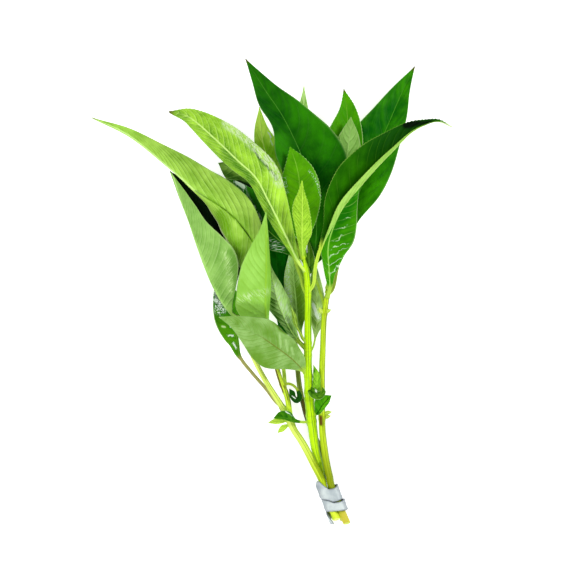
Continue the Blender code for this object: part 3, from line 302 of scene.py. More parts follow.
leaf("mid_right_leaf", "main_stem", [(18, -31.5, 17.8), (20.8, -27, 16.5), (22.2, -18, 15.5),
    (22.8, -10, 15), (22, 0, 14.8), (21.5, 10, 14.8), (21, 20, 15)], 9, (4.3, 4.3), 10, 10, "under", "dull",
    (112, 152, 58), (210, 246, 156), (200, 232, 130), widest=0.4, gloss=(226, 240, 222), veins=10,
    wet_kind="streaks", tone=[(-0.9, 1.5, 20.5, -13, 22, -17)], wet=[(1.9, 1.4, 20.5, -6, 23, -13)])
# Under the bunch, on the table
leaf("under_leaf_left", "back_stem", [(9.3, -2, 8.9), (4.5, 1, 7), (-5, 14, 4.8), (-14, 29, 2.2),
    (-23, 43, 0.6), (-29, 52, 0.3)], 7, (9, 9), 3, 3, "upper", "deep_green", **LOW_DEEP)
leaf("under_leaf_middle", "back_stem", [(8.5, 8, 9.3), (7, 15, 8.8), (4.5, 30, 6.5), (0.5, 50, 3.2),
    (-2.5, 68, 0.7), (-4, 80, 0.3)], 8, (8, 8), 3, 3, "upper", "deep_green", widest=0.42, **LOW_DEEP)
leaf("under_leaf_right", "back_stem", [(9, 2, 9.1), (13.5, 7, 8), (22, 19, 7.4), (30, 34, 6), (40, 52, 3.2),
    (49, 69, 0.8), (55, 81, 0.3)], 9, (8, 8), 3, 3, "upper", "deep_green", **LOW_DEEP)
# Small leaves at the lower joints of the stems
leaf("joint_leaf_right", "main_stem", [(19.5, -61.5, 9.1), (22.6, -60.6, 13.5), (25.3, -56.6, 15.5),
    (27.9, -53.6, 16.5), (29.8, -51.8, 16.5)], 4, ((0.6, 2.6, 4.6, 3.6), (0.6, 1.6, 2, 1.8)), 5,
    (10, 10, 0), "upper", "mid_green",
    (24, 116, 0), (90, 176, 6), (10, 70, 0), rib_half=0.2, veins=5, edge=0.8,
    tone=[(0.75, 0.9, 27, -54.5, 24.5, -59.5)])
leaf("joint_leaf_curled", "main_stem", [(18.5, -50, 12.2), (19, -48.6, 15.5), (20.8, -50.6, 17.6),
    (23.3, -51.8, 18.3), (25.6, -50, 18.6), (25.2, -47.6, 18.8)], 2, ((0.5, 2, 2.3, 1.7),
    (0.5, 2, 2.3, 1.7)), (20, 10, 10), (20, 10, 10), "upper", "deep_green",
    (24, 78, 0), (96, 156, 28), (60, 120, 20), rib_half=0.1, veins=5, quilt=0.3, edge=0.6,
    tone=[(-0.9, 0.6, 18.5, -48.5, 20.5, -50.5), (0.6, 0.4, 23.5, -52, 26, -50.5)],
    wet=[(2, 0.4, 21.8, -48, 22.2, -50)])
leaf("joint_shoot", "main_stem", [(18.7, -53.5, 11.2), (21.9, -51.2, 14.8), (22.3, -46, 17.2),
    (22.1, -41, 18.2), (20.8, -36.6, 18.8)], 3, ((0.8, 1.8, 2, 1.6), (0.8, 1.8, 2, 1.6)), 10, 10, "under",
    "lime",
    (60, 130, 0), (160, 224, 50), (150, 210, 60), rib_half=0.12, veins=5,
    tone=[(-1.6, 0.7, 19, -38, 21, -39.5), (0.7, 0.4, 23, -38.5, 22.5, -46),
    (-0.8, 0.4, 20.5, -41, 20.2, -47)])
leaf("joint_leaf_left", "main_stem", [(19.7, -64.5, 8.3), (16.4, -65.2, 12.8), (11.5, -64.6, 16.6),
    (6, -62.8, 17.6), (0.6, -63.2, 16.6)], 8.5, ((0.5, 0.9, 1.2, 1), (0.5, 1.3, 3.6, 3)), (-20, -20, -10),
    (10, 10, 5), "upper", "deep_green",
    (16, 92, 0), (88, 158, 10), (60, 130, 14), rib_half=0.12, veins=5, edge=0.5,
    tone=[(-0.4, 0.7, 3, -62, 7.5, -62.5)], wet=[(1, 0.3, 6.8, -59.8, 10, -62)])
leaf("joint_leaflet_a", "left_stem", [(9, -64.5, 12.2), (5.2, -64.6, 14), (1.5, -64.8, 14),
    (-2, -65.6, 13.4)], 1.6, (1.5, 1.5), (10, 10, 5), (10, 10, 5), "upper", "lime", widest=0.5, **LEAFLET)
leaf("joint_leaflet_b", "left_stem", [(10, -66.2, 11.9), (7, -67.2, 12.8), (5.2, -68.4, 12.6),
    (2.8, -70.6, 12)], 1.6, (1.5, 1.5), (10, 10, 5), (10, 10, 5), "upper", "lime", widest=0.5, **LEAFLET)
leaf("curled_leaf", "left_branch", [(5.2, -46.5, 17.4), (8.2, -45.9, 19.6), (11, -47, 20.3),
    (13, -49.6, 20.3), (13.6, -52.4, 20), (12.4, -54.2, 19.6), (10.6, -52.8, 19.4), (9.4, -50.4, 19.3),
    (8.7, -48.4, 19.2)], 9.5, ((0.5, 1.4, 1.5, 1.2), (0.5, 1, 1.2, 1.3, 1.3, 1.7, 2.1, 1.6)), (10, -10, 0),
    (10, 20, 10), "upper", "deep_green",
    (4, 48, 0), (24, 88, 8), (30, 92, 20), stalk_colour=(150, 176, 50), rib_half=0.1, veins=5, edge=0.1,
    wet=[(2, 0.3, 10.2, -52.2, 11.5, -53.2)])
leaf("axil_leaf", "main_stem", [(18, -27.5, 19.1), (15.5, -23, 23.5), (12.2, -17, 24.5), (10.8, -11, 25.5),
    (9, -6.5, 26.5)], 12, (1.2, 1.2), 0, 0, "under", "lime",
    (100, 146, 16), (182, 222, 80), (200, 236, 110), widest=0.4, veins=4)
leaf("bract_right_a", "right_stem", [(25.3, -62, 11.3), (27.4, -60.6, 12.8), (30, -60, 13.4)], 0.8, (1, 1),
    0, 0, "upper", "lime", widest=0.5, **BRACT)
leaf("bract_right_b", "right_stem", [(25.4, -63.5, 11.1), (27.4, -62.6, 12.2), (29.4, -62, 12.6)], 0.8,
    (0.9, 0.9), 0, 0, "upper", "lime", widest=0.5, **BRACT)
leaf("bract_upper_right", "right_stem", [(26.3, -10.5, 22.1), (28.2, -9.4, 23.4), (29.5, -8.8, 23.8)], 0.6,
    (0.9, 0.9), 0, 0, "upper", "lime", widest=0.5, **BRACT)
leaf("bract_upper_left", "right_stem", [(26.2, -11, 22), (24.4, -9.4, 23.6), (23.8, -7.6, 24.2)], 0.6,
    (1, 1), 0, 0, "upper", "lime", widest=0.5, **BRACT)
# Two buds between the stalks of the crown, too small for solids of their own
leaf("crown_bud_left", "main_stem", [(16.4, 13.5, 33.2), (14.2, 18, 33.6), (12.7, 22.5, 34.2),
    (12.2, 28.5, 34.6)], 1.5, (1.5, 1.7), 5, 5, "upper", "mid_green",
    (44, 104, 0), (120, 176, 10), (150, 200, 40), rib_half=0.1, veins=4)
leaf("crown_bud_right", "main_stem", [(17.7, 6, 30.2), (18.6, 10.5, 31.2), (18.5, 17, 32.6), (18.5, 26, 33)],
    1.5, (2.4, 2.8), 5, 5, "upper", "deep_green",
    (20, 76, 0), (90, 140, 20), (150, 200, 80), rib_half=0.1, veins=5, edge=0.8,
    wet=[(1.6, 0.4, 17, 25, 17.5, 20)])

# Fine surfaces: radii of a stalk at the stem and of the tip, for large leaves and for small ones
RADII = (0.75, 0.3)
SMALL_RADII = (0.45, 0.16)
SMALL_LEAF_HALF_WIDTH = 5
BLADE_HALF_THICKNESS = 0.17
MARGIN_THINNING = 0.45
THINNING_POWER = 4
FINE_STEPS = 601
PATH_STEPS = 60
STALK_STEP = 0.8
LAST_STALK_STEP = 0.2
DEEPEST_ROOT = 0.55
BASE_FLARE_REACH = 1.3
# A midrib's half width against its stalk's radius, less to the tip, and where the blade beside it starts
RIB_SHARE = 0.5
RIB_THINNING = 0.4
RIB_TIP = 0.06
RIB_EDGE = 1.3
RIB_MOST = 0.6
RIB_REACH = 0.04
COLUMN_POWER = 1.25
RIB_RISE = 0.9
RIB_GROOVE = 0.1
VEIN_HALF = 0.07
VEIN_RISE = 0.13
VEIN_GROOVE = 0.06
VEIN_FADE_POWER = 0.6
VEIN_FADE_WIDTH = 3
SWEEP_POWER = 1.2
# The veins of the right half start this much later, and waver in their own way
VEIN_STARTS = (0, 0.45)
WAVER_SEEDS = (4.1, 1.7)
WAVERS = ((0.16, 17, 1), (0.12, 41, 2.3))
WAVER_LAG = 0.05
TOOTH_GAP = 1.6
TOOTH_POWER = 10
WAVE = 0.35
WAVES = 2.3
WAVE_STARTS = (0.3, 0.75)
WAVE_POWER = 2.5
QUILT_POWER = 0.8
LEAST_CUP = 1e-5
MOST_FOLD = math.radians(150)
THICKEST = 1.15
MARGIN_SIDE = 0.3

# The columns of a half leaf, from its midrib to its margin: how far each is across the rib and the blade
SHARES = np.linspace(0, 1, FINE_STEPS)
RIB_COLUMNS = np.linspace(0, 1, 5)
BLADE_COLUMNS = 1 - (1 - np.linspace(0, 1, 17)) ** COLUMN_POWER
ON_RIB = np.concatenate([RIB_COLUMNS / RIB_EDGE, 1 + 0 * BLADE_COLUMNS])
ON_BLADE = np.concatenate([0 * RIB_COLUMNS, BLADE_COLUMNS])
REACH = RIB_REACH * ON_RIB + (1 - RIB_REACH) * ON_BLADE
# What a leaf's material reads at each point
MARKS = ("side", "vein_place", "across", "rib_gap", "along")


def smooth_path(points):
    """A smooth curve through the given points, in fine even steps, and its length."""
    through = np.array(points, float)
    padded = np.vstack([2 * through[0] - through[1], through, 2 * through[-1] - through[-2]])
    u = np.linspace(0, 1, PATH_STEPS, endpoint=False)[:, None]
    fine = []
    for before, start, end, after in zip(padded, padded[1:], padded[2:], padded[3:]):
        bend = -before + 3 * start - 3 * end + after
        sag = 2 * before - 5 * start + 4 * end - after
        fine.append(start + 0.5 * ((end - before) * u + sag * u**2 + bend * u**3))
    fine = np.vstack(fine + [through[-1:]])
    along = np.cumsum(np.linalg.norm(np.diff(fine[:, :3], axis=0), axis=1))
    along = np.concatenate([[0], along])
    columns = [np.interp(SHARES * along[-1], along, column) for column in fine.T]
    return np.column_stack(columns), along[-1]


def smooth_values(values, shares):
    """Values that run smoothly through the given ones, which are evenly spread over shares 0 to 1."""
    if not isinstance(values, tuple):
        return np.full_like(shares, values)
    values = np.array(values, float)
    place = shares * (len(values) - 1)
    i = np.clip(place.astype(int), 0, len(values) - 2)
    u, slopes = place - i, np.gradient(values)
    bends = slopes[i] * u * (1 - u) ** 2 - slopes[i + 1] * (1 - u) * u**2
    return values[i] * (1 + 2 * u) * (1 - u) ** 2 + values[i + 1] * (3 - 2 * u) * u**2 + bends


def unit_rows(vectors):
    return vectors / np.linalg.norm(vectors, axis=-1, keepdims=True)


def line_with_sides(points):
    """A smooth line in fine steps, with its sideways and upward directions."""
    places, length = smooth_path(points)
    tangents = unit_rows(np.gradient(places[:, :3], axis=0))
    sideways = unit_rows(np.cross(UP, tangents))
    rows = np.hstack([places, sideways, np.cross(tangents, sideways)])
    return SimpleNamespace(places=places, length=length, rows=rows)


def at(line, wanted):
    """The line's places and its sideways and upward directions at the wanted shares of its length."""
    found = np.stack([np.interp(wanted, SHARES, column) for column in line.rows.T], axis=-1)
    return np.split(found, (-6, -3), axis=-1)


def root_share(leaf, line):
    """The share of a leaf's line at which it comes out of its stem, taken a little inside the stem."""
    axis, _ = smooth_path(STEMS[leaf.stem].points)
    gaps = np.linalg.norm(axis[:, None, :3] - line.places, axis=-1)
    inside = gaps.min(axis=0) <= axis[gaps.argmin(axis=0), 3] * DEEPEST_ROOT
    return SHARES[inside.argmin()]


def half_width(leaf, side, share):
    """How wide one half of a blade is at these shares of its length."""
    given, inside = leaf.half_widths[side], np.clip(share, 0, 1)
    if isinstance(given, tuple):
        return np.maximum(0, smooth_values((*given, 0), inside))
    tip_taper = leaf.taper * (1 - leaf.widest) / leaf.widest
    return given * (inside / leaf.widest) ** leaf.taper * ((1 - inside) / (1 - leaf.widest)) ** tip_taper


def stroke_strength(points, strokes):
    """How strongly each point, seen from above, lies in soft strokes."""
    total = np.zeros(points.shape[:-1])
    for amount, reach, *line in strokes:
        line = np.reshape(line, (-1, 2))
        nearest = np.full(total.shape, np.inf)
        for start, run in zip(line, np.diff(line, axis=0)):
            along = np.clip((points - start) @ run / (run @ run), 0, 1)
            gaps = np.linalg.norm(points - start - along[..., None] * run, axis=-1)
            nearest = np.minimum(nearest, gaps)
        total += amount * np.exp(-((nearest / reach) ** 2))
    return total


def half_leaf(leaf, line, rows, side):
    """One half of a leaf, in rows from its stem to its tip and columns from its midrib to its margin."""
    greatest = max(np.max(given) for given in leaf.half_widths)
    stalk_radius, tip_radius = SMALL_RADII if greatest < SMALL_LEAF_HALF_WIDTH else RADII
    blade_length = line.length - leaf.stalk
    row = rows[:, None] + 0 * REACH
    inside = np.clip(row, 0, 1)
    sweep = np.broadcast_to(leaf.sweep, 2)[side]
    share = row + sweep * 4 * inside * (1 - inside) * REACH**SWEEP_POWER
    inside = np.clip(share, 0, 1)
    place, sideways, above = at(line, np.clip((leaf.stalk + share * blade_length) / line.length, 0, 1))
    radius = stalk_radius + (tip_radius - stalk_radius) * inside
    radius = radius * (1 + leaf.flare * np.exp(-(share - rows[0]) * blade_length / BASE_FLARE_REACH))
    blade_width = half_width(leaf, side, share)
    width = np.hypot(blade_width, radius)
    roundness = radius**2 / (width * np.hypot(half_width(leaf, 1 - side, share), radius))
    rib = RIB_SHARE * radius * (1 - RIB_THINNING * inside) + RIB_TIP
    edge = np.minimum(RIB_EDGE * rib, RIB_MOST * width)
    gap = edge * ON_RIB + (width - edge) * ON_BLADE
    tooth = leaf.teeth * np.cos(2 * math.pi * share * blade_length / TOOTH_GAP) * (1 - roundness)
    gap = gap + 0.5 * tooth * (gap / width) ** TOOTH_POWER
    leans = [np.radians(smooth_values(lean, inside)) for lean in (leaf.left, leaf.right)]
    own_lean, other_lean = leans[side], leans[1 - side]
    waver = sum(
        size * np.sin(turns * (row + WAVER_LAG * REACH) + shift * WAVER_SEEDS[side])
        for size, turns, shift in WAVERS
    )
    return SimpleNamespace(
        side=side, sign=(1, -1)[side], share=share, place=place, sideways=sideways, above=above,
        radius=radius, width=width, roundness=roundness, rib=rib, gap=gap,
        shape=np.clip(blade_width / greatest, 0, 1),
        lean=(own_lean + other_lean) / 2 * (1 - roundness) + (own_lean - other_lean) / 2,
        cup=math.radians(leaf.cup) * (1 - roundness) + LEAST_CUP,
        veins=row * leaf.veins + VEIN_STARTS[side] + waver,
    )


def middle_surface(half, gap):
    """The places and normals of a half leaf's middle surface, this far from the midrib."""
    angle = half.lean + half.cup * (2 * gap / half.width - 1)
    start = half.lean - half.cup
    bow = half.width / (2 * half.cup)
    side = (half.sign * bow * (np.sin(angle) - np.sin(start)))[..., None]
    height = (bow * (np.cos(start) - np.cos(angle)))[..., None]
    places = half.place + side * half.sideways + height * half.above
    tilt = (half.sign * np.sin(angle))[..., None]
    return places, np.cos(angle)[..., None] * half.above - tilt * half.sideways


def face_height(half, ribbed):
    """How far a face lies from the middle surface: thin blade, raised or sunken veins, round stalk."""
    across = np.clip(half.gap / half.width, 0, 1)
    blade = BLADE_HALF_THICKNESS * (1 - MARGIN_THINNING * across**THINNING_POWER)
    vein_gap = np.abs((half.veins + 0.5) % 1 - 0.5)
    fade = (1 - across) ** VEIN_FADE_POWER * np.clip(half.shape * VEIN_FADE_WIDTH, 0, 1)
    vein = np.exp(-((vein_gap / VEIN_HALF) ** 2)) * fade
    on_rib = np.clip(1 - (half.gap / half.rib) ** 2, 0, 1)
    if ribbed:
        blade = blade + VEIN_RISE * vein + RIB_RISE * half.rib * np.sqrt(on_rib)
    else:
        blade = blade - VEIN_GROOVE * vein - RIB_GROOVE * on_rib
    stalk = half.radius * np.sqrt(1 - across**2)
    return np.minimum(blade, half.radius * THICKEST) * (1 - half.roundness) + stalk * half.roundness


def relief(leaf, half):
    """How far the whole blade is lifted: quilting between the veins, and waves that grow to the margin."""
    across = np.clip(half.gap / half.width, 0, 1)
    quilt = leaf.quilt * np.sin(math.pi * half.veins) ** 2 * np.sin(math.pi * across**QUILT_POWER)
    turn = WAVES * half.share + WAVE_STARTS[half.side]
    lift = quilt * np.sqrt(half.shape) + WAVE * np.sin(2 * math.pi * turn) * across**WAVE_POWER * half.shape
    return lift if leaf.top == "upper" else -lift


def half_face(leaf, half, fold, face):
    """One face of a half leaf and its marks: 1 is the face that looks up, and -1 the other."""
    height = face_height(half, (face > 0) == (leaf.top == "under"))
    # Inside a fold the face starts where its two halves meet
    shift = BLADE_HALF_THICKNESS * np.tan(np.clip(face * fold, 0, MOST_FOLD) / 2)
    shift = np.minimum(shift, 0.5 * half.width)
    lift = relief(leaf, half)
    places, normals = middle_surface(half, shift + (half.width - shift) * half.gap / half.width)
    points = places + (lift + face * height)[..., None] * normals
    places, normals = middle_surface(half, half.gap)
    points[:, -1] = (places + lift[..., None] * normals)[:, -1]
    side = np.full(half.gap.shape, float((face > 0) == (leaf.top == "upper")))
    side[:, -1] = MARGIN_SIDE
    shown = np.where(face * np.cos(half.lean) > 0, 1, 0)
    across = -half.sign * half.gap / half.width
    return points, np.stack([side, half.veins, across, half.gap, half.share, shown], axis=-1)


def leaf_rings(leaf, line):
    """Closed rings round a leaf, from its stem to its tip, and its marks at each point."""
    blade_length = line.length - leaf.stalk
    first = (root_share(leaf, line) * line.length - leaf.stalk) / blade_length
    stalk = np.arange(first, -LAST_STALK_STEP * STALK_STEP / blade_length, STALK_STEP / blade_length)
    blade = np.linspace(0, 1, leaf.veins * leaf.rows + 1)
    rows = np.concatenate([stalk, blade[blade >= first]])
    halves = [half_leaf(leaf, line, rows, side) for side in (LEFT, RIGHT)]
    fold = sum(half.lean[:, :1] - half.cup[:, :1] for half in halves)
    parts, marks = [], []
    for face, order in ((1, (RIGHT, LEFT)), (-1, (LEFT, RIGHT))):
        (first_points, first_marks), (points, next_marks) = (
            half_face(leaf, halves[side], fold, face) for side in order
        )
        # The halves meet on the midrib
        points[:, 0] = 0.5 * (points[:, 0] + first_points[:, 0])
        parts += [first_points[:, :0:-1], points[:, :-1]]
        marks += [first_marks[:, :0:-1], next_marks[:, :-1]]
    return np.concatenate(parts, axis=1), np.concatenate(marks, axis=1)


def add_object(name, data):
    made = bpy.data.objects.new(name, data)
    bpy.context.scene.collection.objects.link(made)
    return made


def add_piece(name, rings, values, material):
    """One closed mesh through rings of points, with filled ends, in the place of the solid of its name."""
    count, ring = rings.shape[:2]
    rows, columns = np.arange(count - 1)[:, None] * ring, np.arange(ring)
    following = (columns + 1) % ring
    corners = [rows + columns, rows + ring + columns, rows + ring + following, rows + following]
    faces = np.stack(corners, axis=-1).reshape(-1, 4).tolist()
    faces += [list(range(ring)), list(range(count * ring - 1, count * ring - ring - 1, -1))]
    mesh = bpy.data.meshes.new(name + "_surface")
    mesh.from_pydata((rings.reshape(-1, 3) * MM).tolist(), [], faces)
    mesh.update()
    mesh.shade_smooth()
    for kind, numbers in values.items():
        layer = mesh.attributes.new(kind, "FLOAT", "POINT")
        layer.data.foreach_set("value", np.ascontiguousarray(numbers, np.float32).ravel())
    mesh.materials.append(material)
    made = add_object(name + "_surface", mesh)
    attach(made, "root")
    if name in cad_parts:
        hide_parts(name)


def add_leaf(name, leaf):
    rings, marks = leaf_rings(leaf, line_with_sides(leaf.midrib))
    *marks, shown = np.moveaxis(marks, -1, 0)
    values = dict(zip(MARKS, marks))
    # The strokes paint light and shade, and glints where the leaf is wet
    values["tone"] = stroke_strength(rings[..., :2], leaf.tone) * shown
    values["wet"] = stroke_strength(rings[..., :2], leaf.wet) * shown
    add_piece(name, rings, values, leaf_material(name + "_finish", leaf))


# Stems. The rows at a cut and at the top: how far along, how wide, and how much of the row is cut flesh
CUT_ROWS = ((0.16, 0.1, 1), (0.13, 0.35, 1), (0.06, 0.65, 1), (0, 0.88, 0.6), (0.07, 0.97, 0.6))
CUT_DEPTH = 0.3
TOP_ROWS = ((0.15, 0.85), (0.04, 0.55), (0, 0.15))
TOP_DEPTH = 0.4
STEM_STEP = 0.6
STEM_RING = 28
STEM_RIDGE = 0.045
STEM_RIDGES = 4
KNOT_SWELLING = 0.14
KNOT_REACH = 1.3
CUT_TILT = 0.35
LIT_ANGLE = 0.5
# The top of a stem narrows over its last few millimetres
TOP_TAPER = 5
TOP_SIZE = 0.35


def knots_of(name, line):
    """The lengths along a stem at which its leaves grow."""
    grown = [leaf for key, leaf in LEAVES.items() if leaf.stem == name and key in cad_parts]
    gaps = [np.linalg.norm(line.places[:, :3] - leaf.midrib[0], axis=1) for leaf in grown]
    return np.argmin(gaps, axis=1) / (FINE_STEPS - 1) * line.length


def add_stem(name, stem):
    """Closed rings round a stem from its cut end up, and what its material reads at each point."""
    line = line_with_sides([FORK_START] * (name == "left_branch") + stem.points)
    length = line.length
    aways = np.linspace(CUT_DEPTH, length - TOP_DEPTH, round(length / STEM_STEP))
    rows = [*CUT_ROWS, *((away, 1, 0) for away in aways)]
    rows = [*rows, *((length - away, size, 0) for away, size in TOP_ROWS)]
    away, size, cut = np.array(rows).T
    turn = np.linspace(0, 2 * math.pi, STEM_RING, endpoint=False)
    place, sideways, above = (found[:, None] for found in at(line, away / length))
    knot_gap = np.abs(away[:, None] - knots_of(name, line)).min(axis=1)
    swelling = 1 + KNOT_SWELLING * np.exp(-((knot_gap / KNOT_REACH) ** 2))
    narrowing = np.interp(length - away, (0, TOP_TAPER), (TOP_SIZE, 1))
    ridges = 1 + STEM_RIDGE * np.cos(STEM_RIDGES * turn)
    radius = (place[:, 0, 3] * size * swelling * narrowing)[:, None] * ridges
    outward = np.cos(turn)[:, None] * above + np.sin(turn)[:, None] * sideways
    # The cut is a little slanted
    slant = CUT_TILT * np.exp(-away / CUT_DEPTH)[:, None] * radius * np.cos(turn - LIT_ANGLE)
    rings = place[..., :3] + radius[..., None] * outward + slant[..., None] * np.cross(sideways, above)
    columns = {"cut": cut, "knot_gap": knot_gap, "length_place": away}
    values = {kind: column[:, None] + 0 * radius for kind, column in columns.items()}
    values["turn"] = turn + 0 * radius
    values["tone"] = stroke_strength(rings[..., :2], stem.tone)
    add_piece(name, rings, values, stem_material(name + "_finish", stem))


# The fine surface of the metal strip
STRIP_TURN_STEPS = 110
STRIP_FACE_POINTS = 15
STRIP_EDGE_TURNS = np.linspace(0, math.pi, 7)[1:-1]
CORNER_STEPS = 16
STRIP_DENT = 0.22
DENTS_ALONG = 0.35
DENTS_A_TURN = 9
DENTS_PLACE = 3
STRIP_HOLLOW = 0.12
# Painted shade on the strip: at its rims, on its flanks and on its inner face, less on the flanks near its
# loose end
STRIP_RIM_SHADE = 0.5
RIM_POWER = 8
FLANK_SHADE_POWER = 3
STRIP_INNER_SHADE = 0.6
STRIP_LOOSE_END = (1.6, 1.75)
LOOSE_FLANK_SHADE = 0.3


def wrap_outline():
    """Rows round the rectangle with round corners that the strip follows: place and outward way."""
    rows = [(0, STRIP_HALF_HIGH, 0, 1)]
    for quarter, (side, level) in enumerate(((1, 1), (1, -1), (-1, -1), (-1, 1))):
        for angle in np.linspace(quarter, quarter + 1, CORNER_STEPS) * math.pi / 2:
            out_side, out_height = math.sin(angle), math.cos(angle)
            across = side * (STRIP_HALF_ACROSS - STRIP_CORNER) + STRIP_CORNER * out_side
            height = level * (STRIP_HALF_HIGH - STRIP_CORNER) + STRIP_CORNER * out_height
            rows.append((across, height, out_side, out_height))
    return np.array(rows + rows[:1])


def strip_section(near, far):
    """The strip's cross section: how far along the tie and how deep each point is, and how much painted
    shade it gets at the rims and on the inner face.
    """
    half = STRIP_THICKNESS / 2
    face = np.linspace(near + half, far - half, STRIP_FACE_POINTS)
    rim = STRIP_RIM_SHADE * np.linspace(-1, 1, STRIP_FACE_POINTS) ** RIM_POWER
    hollow = STRIP_HOLLOW * np.sin(math.pi * np.linspace(0, 1, STRIP_FACE_POINTS))
    points = list(zip(face, hollow, rim))
    points += [(far - half + half * math.sin(t), half - half * math.cos(t), 1) for t in STRIP_EDGE_TURNS]
    points += [(x, STRIP_THICKNESS, STRIP_INNER_SHADE) for x in face[::-1]]
    points += [(near + half - half * math.sin(t), half + half * math.cos(t), 1) for t in STRIP_EDGE_TURNS]
    return np.array(points).T


def add_strip():
    """Closed rings along the strip, and what its material reads at each point."""
    outline = wrap_outline()
    steps = np.linalg.norm(np.diff(outline[:, :2], axis=0), axis=1)
    reached = np.concatenate([[0], np.cumsum(steps)]) / steps.sum()
    turns, *edges_and_lift = np.transpose(STRIP_WINDING)
    rings, edges = [], []
    for turn in np.linspace(turns[0], turns[-1], round((turns[-1] - turns[0]) * STRIP_TURN_STEPS)):
        side, height, out_side, out_height = (np.interp(turn % 1, reached, column) for column in outline.T)
        outward = unit_rows(out_side * TIE_ACROSS + out_height * UP)
        near, far, stands_out = (np.interp(turn, turns, column) for column in edges_and_lift)
        middle = TIE_TOP + side * TIE_ACROSS + (height + STRIP_HALF_HIGH) * UP + stands_out * outward
        along, depth, edge = strip_section(near, far)
        dents = [noise.noise((x * DENTS_ALONG, turn * DENTS_A_TURN, DENTS_PLACE)) for x in along]
        depth = depth + STRIP_DENT * np.maximum(0, dents)
        rings.append(middle + np.outer(along, TIE_AXIS) - np.outer(depth, outward))
        # Painted shade on the flanks, where the strip turns away from the lights
        flank_shade = np.interp(turn, STRIP_LOOSE_END, (1, LOOSE_FLANK_SHADE)) * abs(out_side) ** FLANK_SHADE_POWER
        edges.append(np.maximum(edge, flank_shade))
    finish = strip_material("metal_strip_finish")
    add_piece("metal_strip", np.array(rings), {"edge": edges}, finish)


# Materials. A pair says where a mark starts and where it is full, and two more how strong it is there.
# Clouds and spots have their scale in front of the pair. A bump has its strength and its depth in metres.
LEAF_SPECULAR = 0.04
STEM_SPECULAR = 0.2
STRIP_METALLIC = 0.15
# Near-black green for painted deep shade; PALE is the leaves' pale margins and also their painted highlights
PAINTED_DEEP_SHADE = (2, 20, 2)
PALE = (214, 236, 170)
BROWN = (96, 78, 18)
SCAR = (100, 62, 4)
STRIP_DULL = (176, 188, 192)
STRIP_BRIGHT = (220, 230, 228)
# The colour of the painted shade on the strip's rims, flanks and inner face
STRIP_SHADE_COLOUR = (112, 120, 132)
# Veins, with painted shade in their grooves and painted light on their crests, midrib and net
GROOVE, CREST = (0.16, 0.02), (0.2, 0.5)
UNDER_GROOVE, UNDER_GROOVE_END, UNDER_CREST = (0.6, 0.86), (0.98, 0.92), (0.3, 0.02)
CREST_SHARE, STRIPE_SHARE, NET_SHARE, RIB_COVER = 0.7, 0.5, 0.16, 0.85
VEIN_LINE, VEIN_CLOUDS, MARGIN_FADE = (0.07, 0.01), (90, 0.35, 0.62, 0.35, 1), (1, 0.75)
RIB_START, RIB_END, RIB_OUTSIDE, RIB_INSIDE = 0.08, 0.1, 0.18, 0.1
NET_ALONG, NET_ACROSS, NET_LINE = 2.4, 0.85, (0.1, 0)
# Patches, stalk, margin, tip, and the strokes: painted light and shade on leaves, scars on stems
PATCH_SCALE, PATCH_SHARE = 140, 1.6
STALK_SPAN, MARGIN_SPAN, PALE_SPAN, TIP_SPAN = (0.07, 0), (0.93, 1), (0.9, 0.97), (0.965, 0.995)
DARKEST, LIGHTEST = (-0.9, -2.1), (0.9, 1.9)
# Painted glints in wet places, standing for reflections of the lights
PAINTED_GLINT_SPAN, SOLID_PAINTED_GLINT_SPAN, GLINT_SHARE = (0.2, 0.8), (1.1, 1.7), 0.85
PAINTED_GLINT_CELL, PAINTED_GLINT_PATCH, PAINTED_GLINT_SPOT = (0.02, 0.14), (1.3, 0.3, 0.5, 0.25, 1), (1400, 0.5, 0.56)
STREAK_ALONG, STREAK_ACROSS, PAINTED_GLINT_STREAK = 8, 0.4, (1, 0.5, 0.62)
SWAY_SCALE, SWAY, PAINTED_GLINT_VEIN, VEIN_PATCH = 320, 1.4, (0.09, 0.03), (0.9, 0.34, 0.5)
DROP_SCALE, DROP = 2.4, (0.42, 0.25)
FINE_DETAIL = 3
# Roughness and fine height: grain, cells and veins
LEAF_GRAIN, STEM_GRAIN, STRIP_GRAIN = 900, 1500, 2400
LEAF_ROUGHNESS, LEAST_ROUGHNESS, WET_ROUGHNESS, GRAIN_ROUGHNESS = (0, 1, 0.5, 0.34), 0.15, 0.2, 0.16
CELL_RISE, GRAIN_RISE, LINE_RISE, LEAF_BUMP = (0, 0.35), 0.35, 1.2, (0.35, 0.00022)
STEM_ROUGHNESS, STEM_RISE, STEM_BUMP = 0.28, 0.2, (0.4, 0.0003)
STRIP_ROUGHNESS, STRIP_RISE, STRIP_BUMP = 0.36, 0.1, (0.3, 0.0004)
HARD_GRAIN = 0.2
# A stem's streaks, its painted highlight on one side and painted shade on its flanks, its knots and cut, and
# the strip's dull clouds and painted rim shade
STREAKS_AROUND, STREAKS_AWAY, STREAK_SPAN = 2.2, 0.07, (0.3, 0.7)
LOW_SPAN, END_SPAN, RING_SPAN, RING_COVER = (50, 22.5), (8, 5), (0.7, 0.1), 0.12
LIT_SPAN, PAINTED_FLANK_SHADE_SPAN = (-0.4, 0.95, -0.45, 0.55), (0.8, 0.98, 0, 0.6)
FIBRE_SCALE, FIBRE = 3200, (0.2, 0.6)
STRIP_CLOUDS, STRIP_SPAN, RIM_SHADE_COVER = 180, (0.3, 0.75), 0.8


def shown(colour):
    """A colour as the eye sees it, 0 to 255, as the amount of light that a surface sends back."""
    levels = [(c / 255 / 12.92 if c <= 10 else ((c / 255 + 0.055) / 1.055) ** 2.4) for c in colour]
    return (*levels, 1)


class Value:
    """What a node gives out, so that a material's sums read as sums."""

    def __init__(self, node, output):
        self.tree, self.socket = node.id_data, node.outputs[output]

    def __add__(self, other):
        return maths("ADD", self, other)

    def __sub__(self, other):
        return maths("SUBTRACT", self, other)

    def __mul__(self, other):
        return maths("MULTIPLY", self, other)


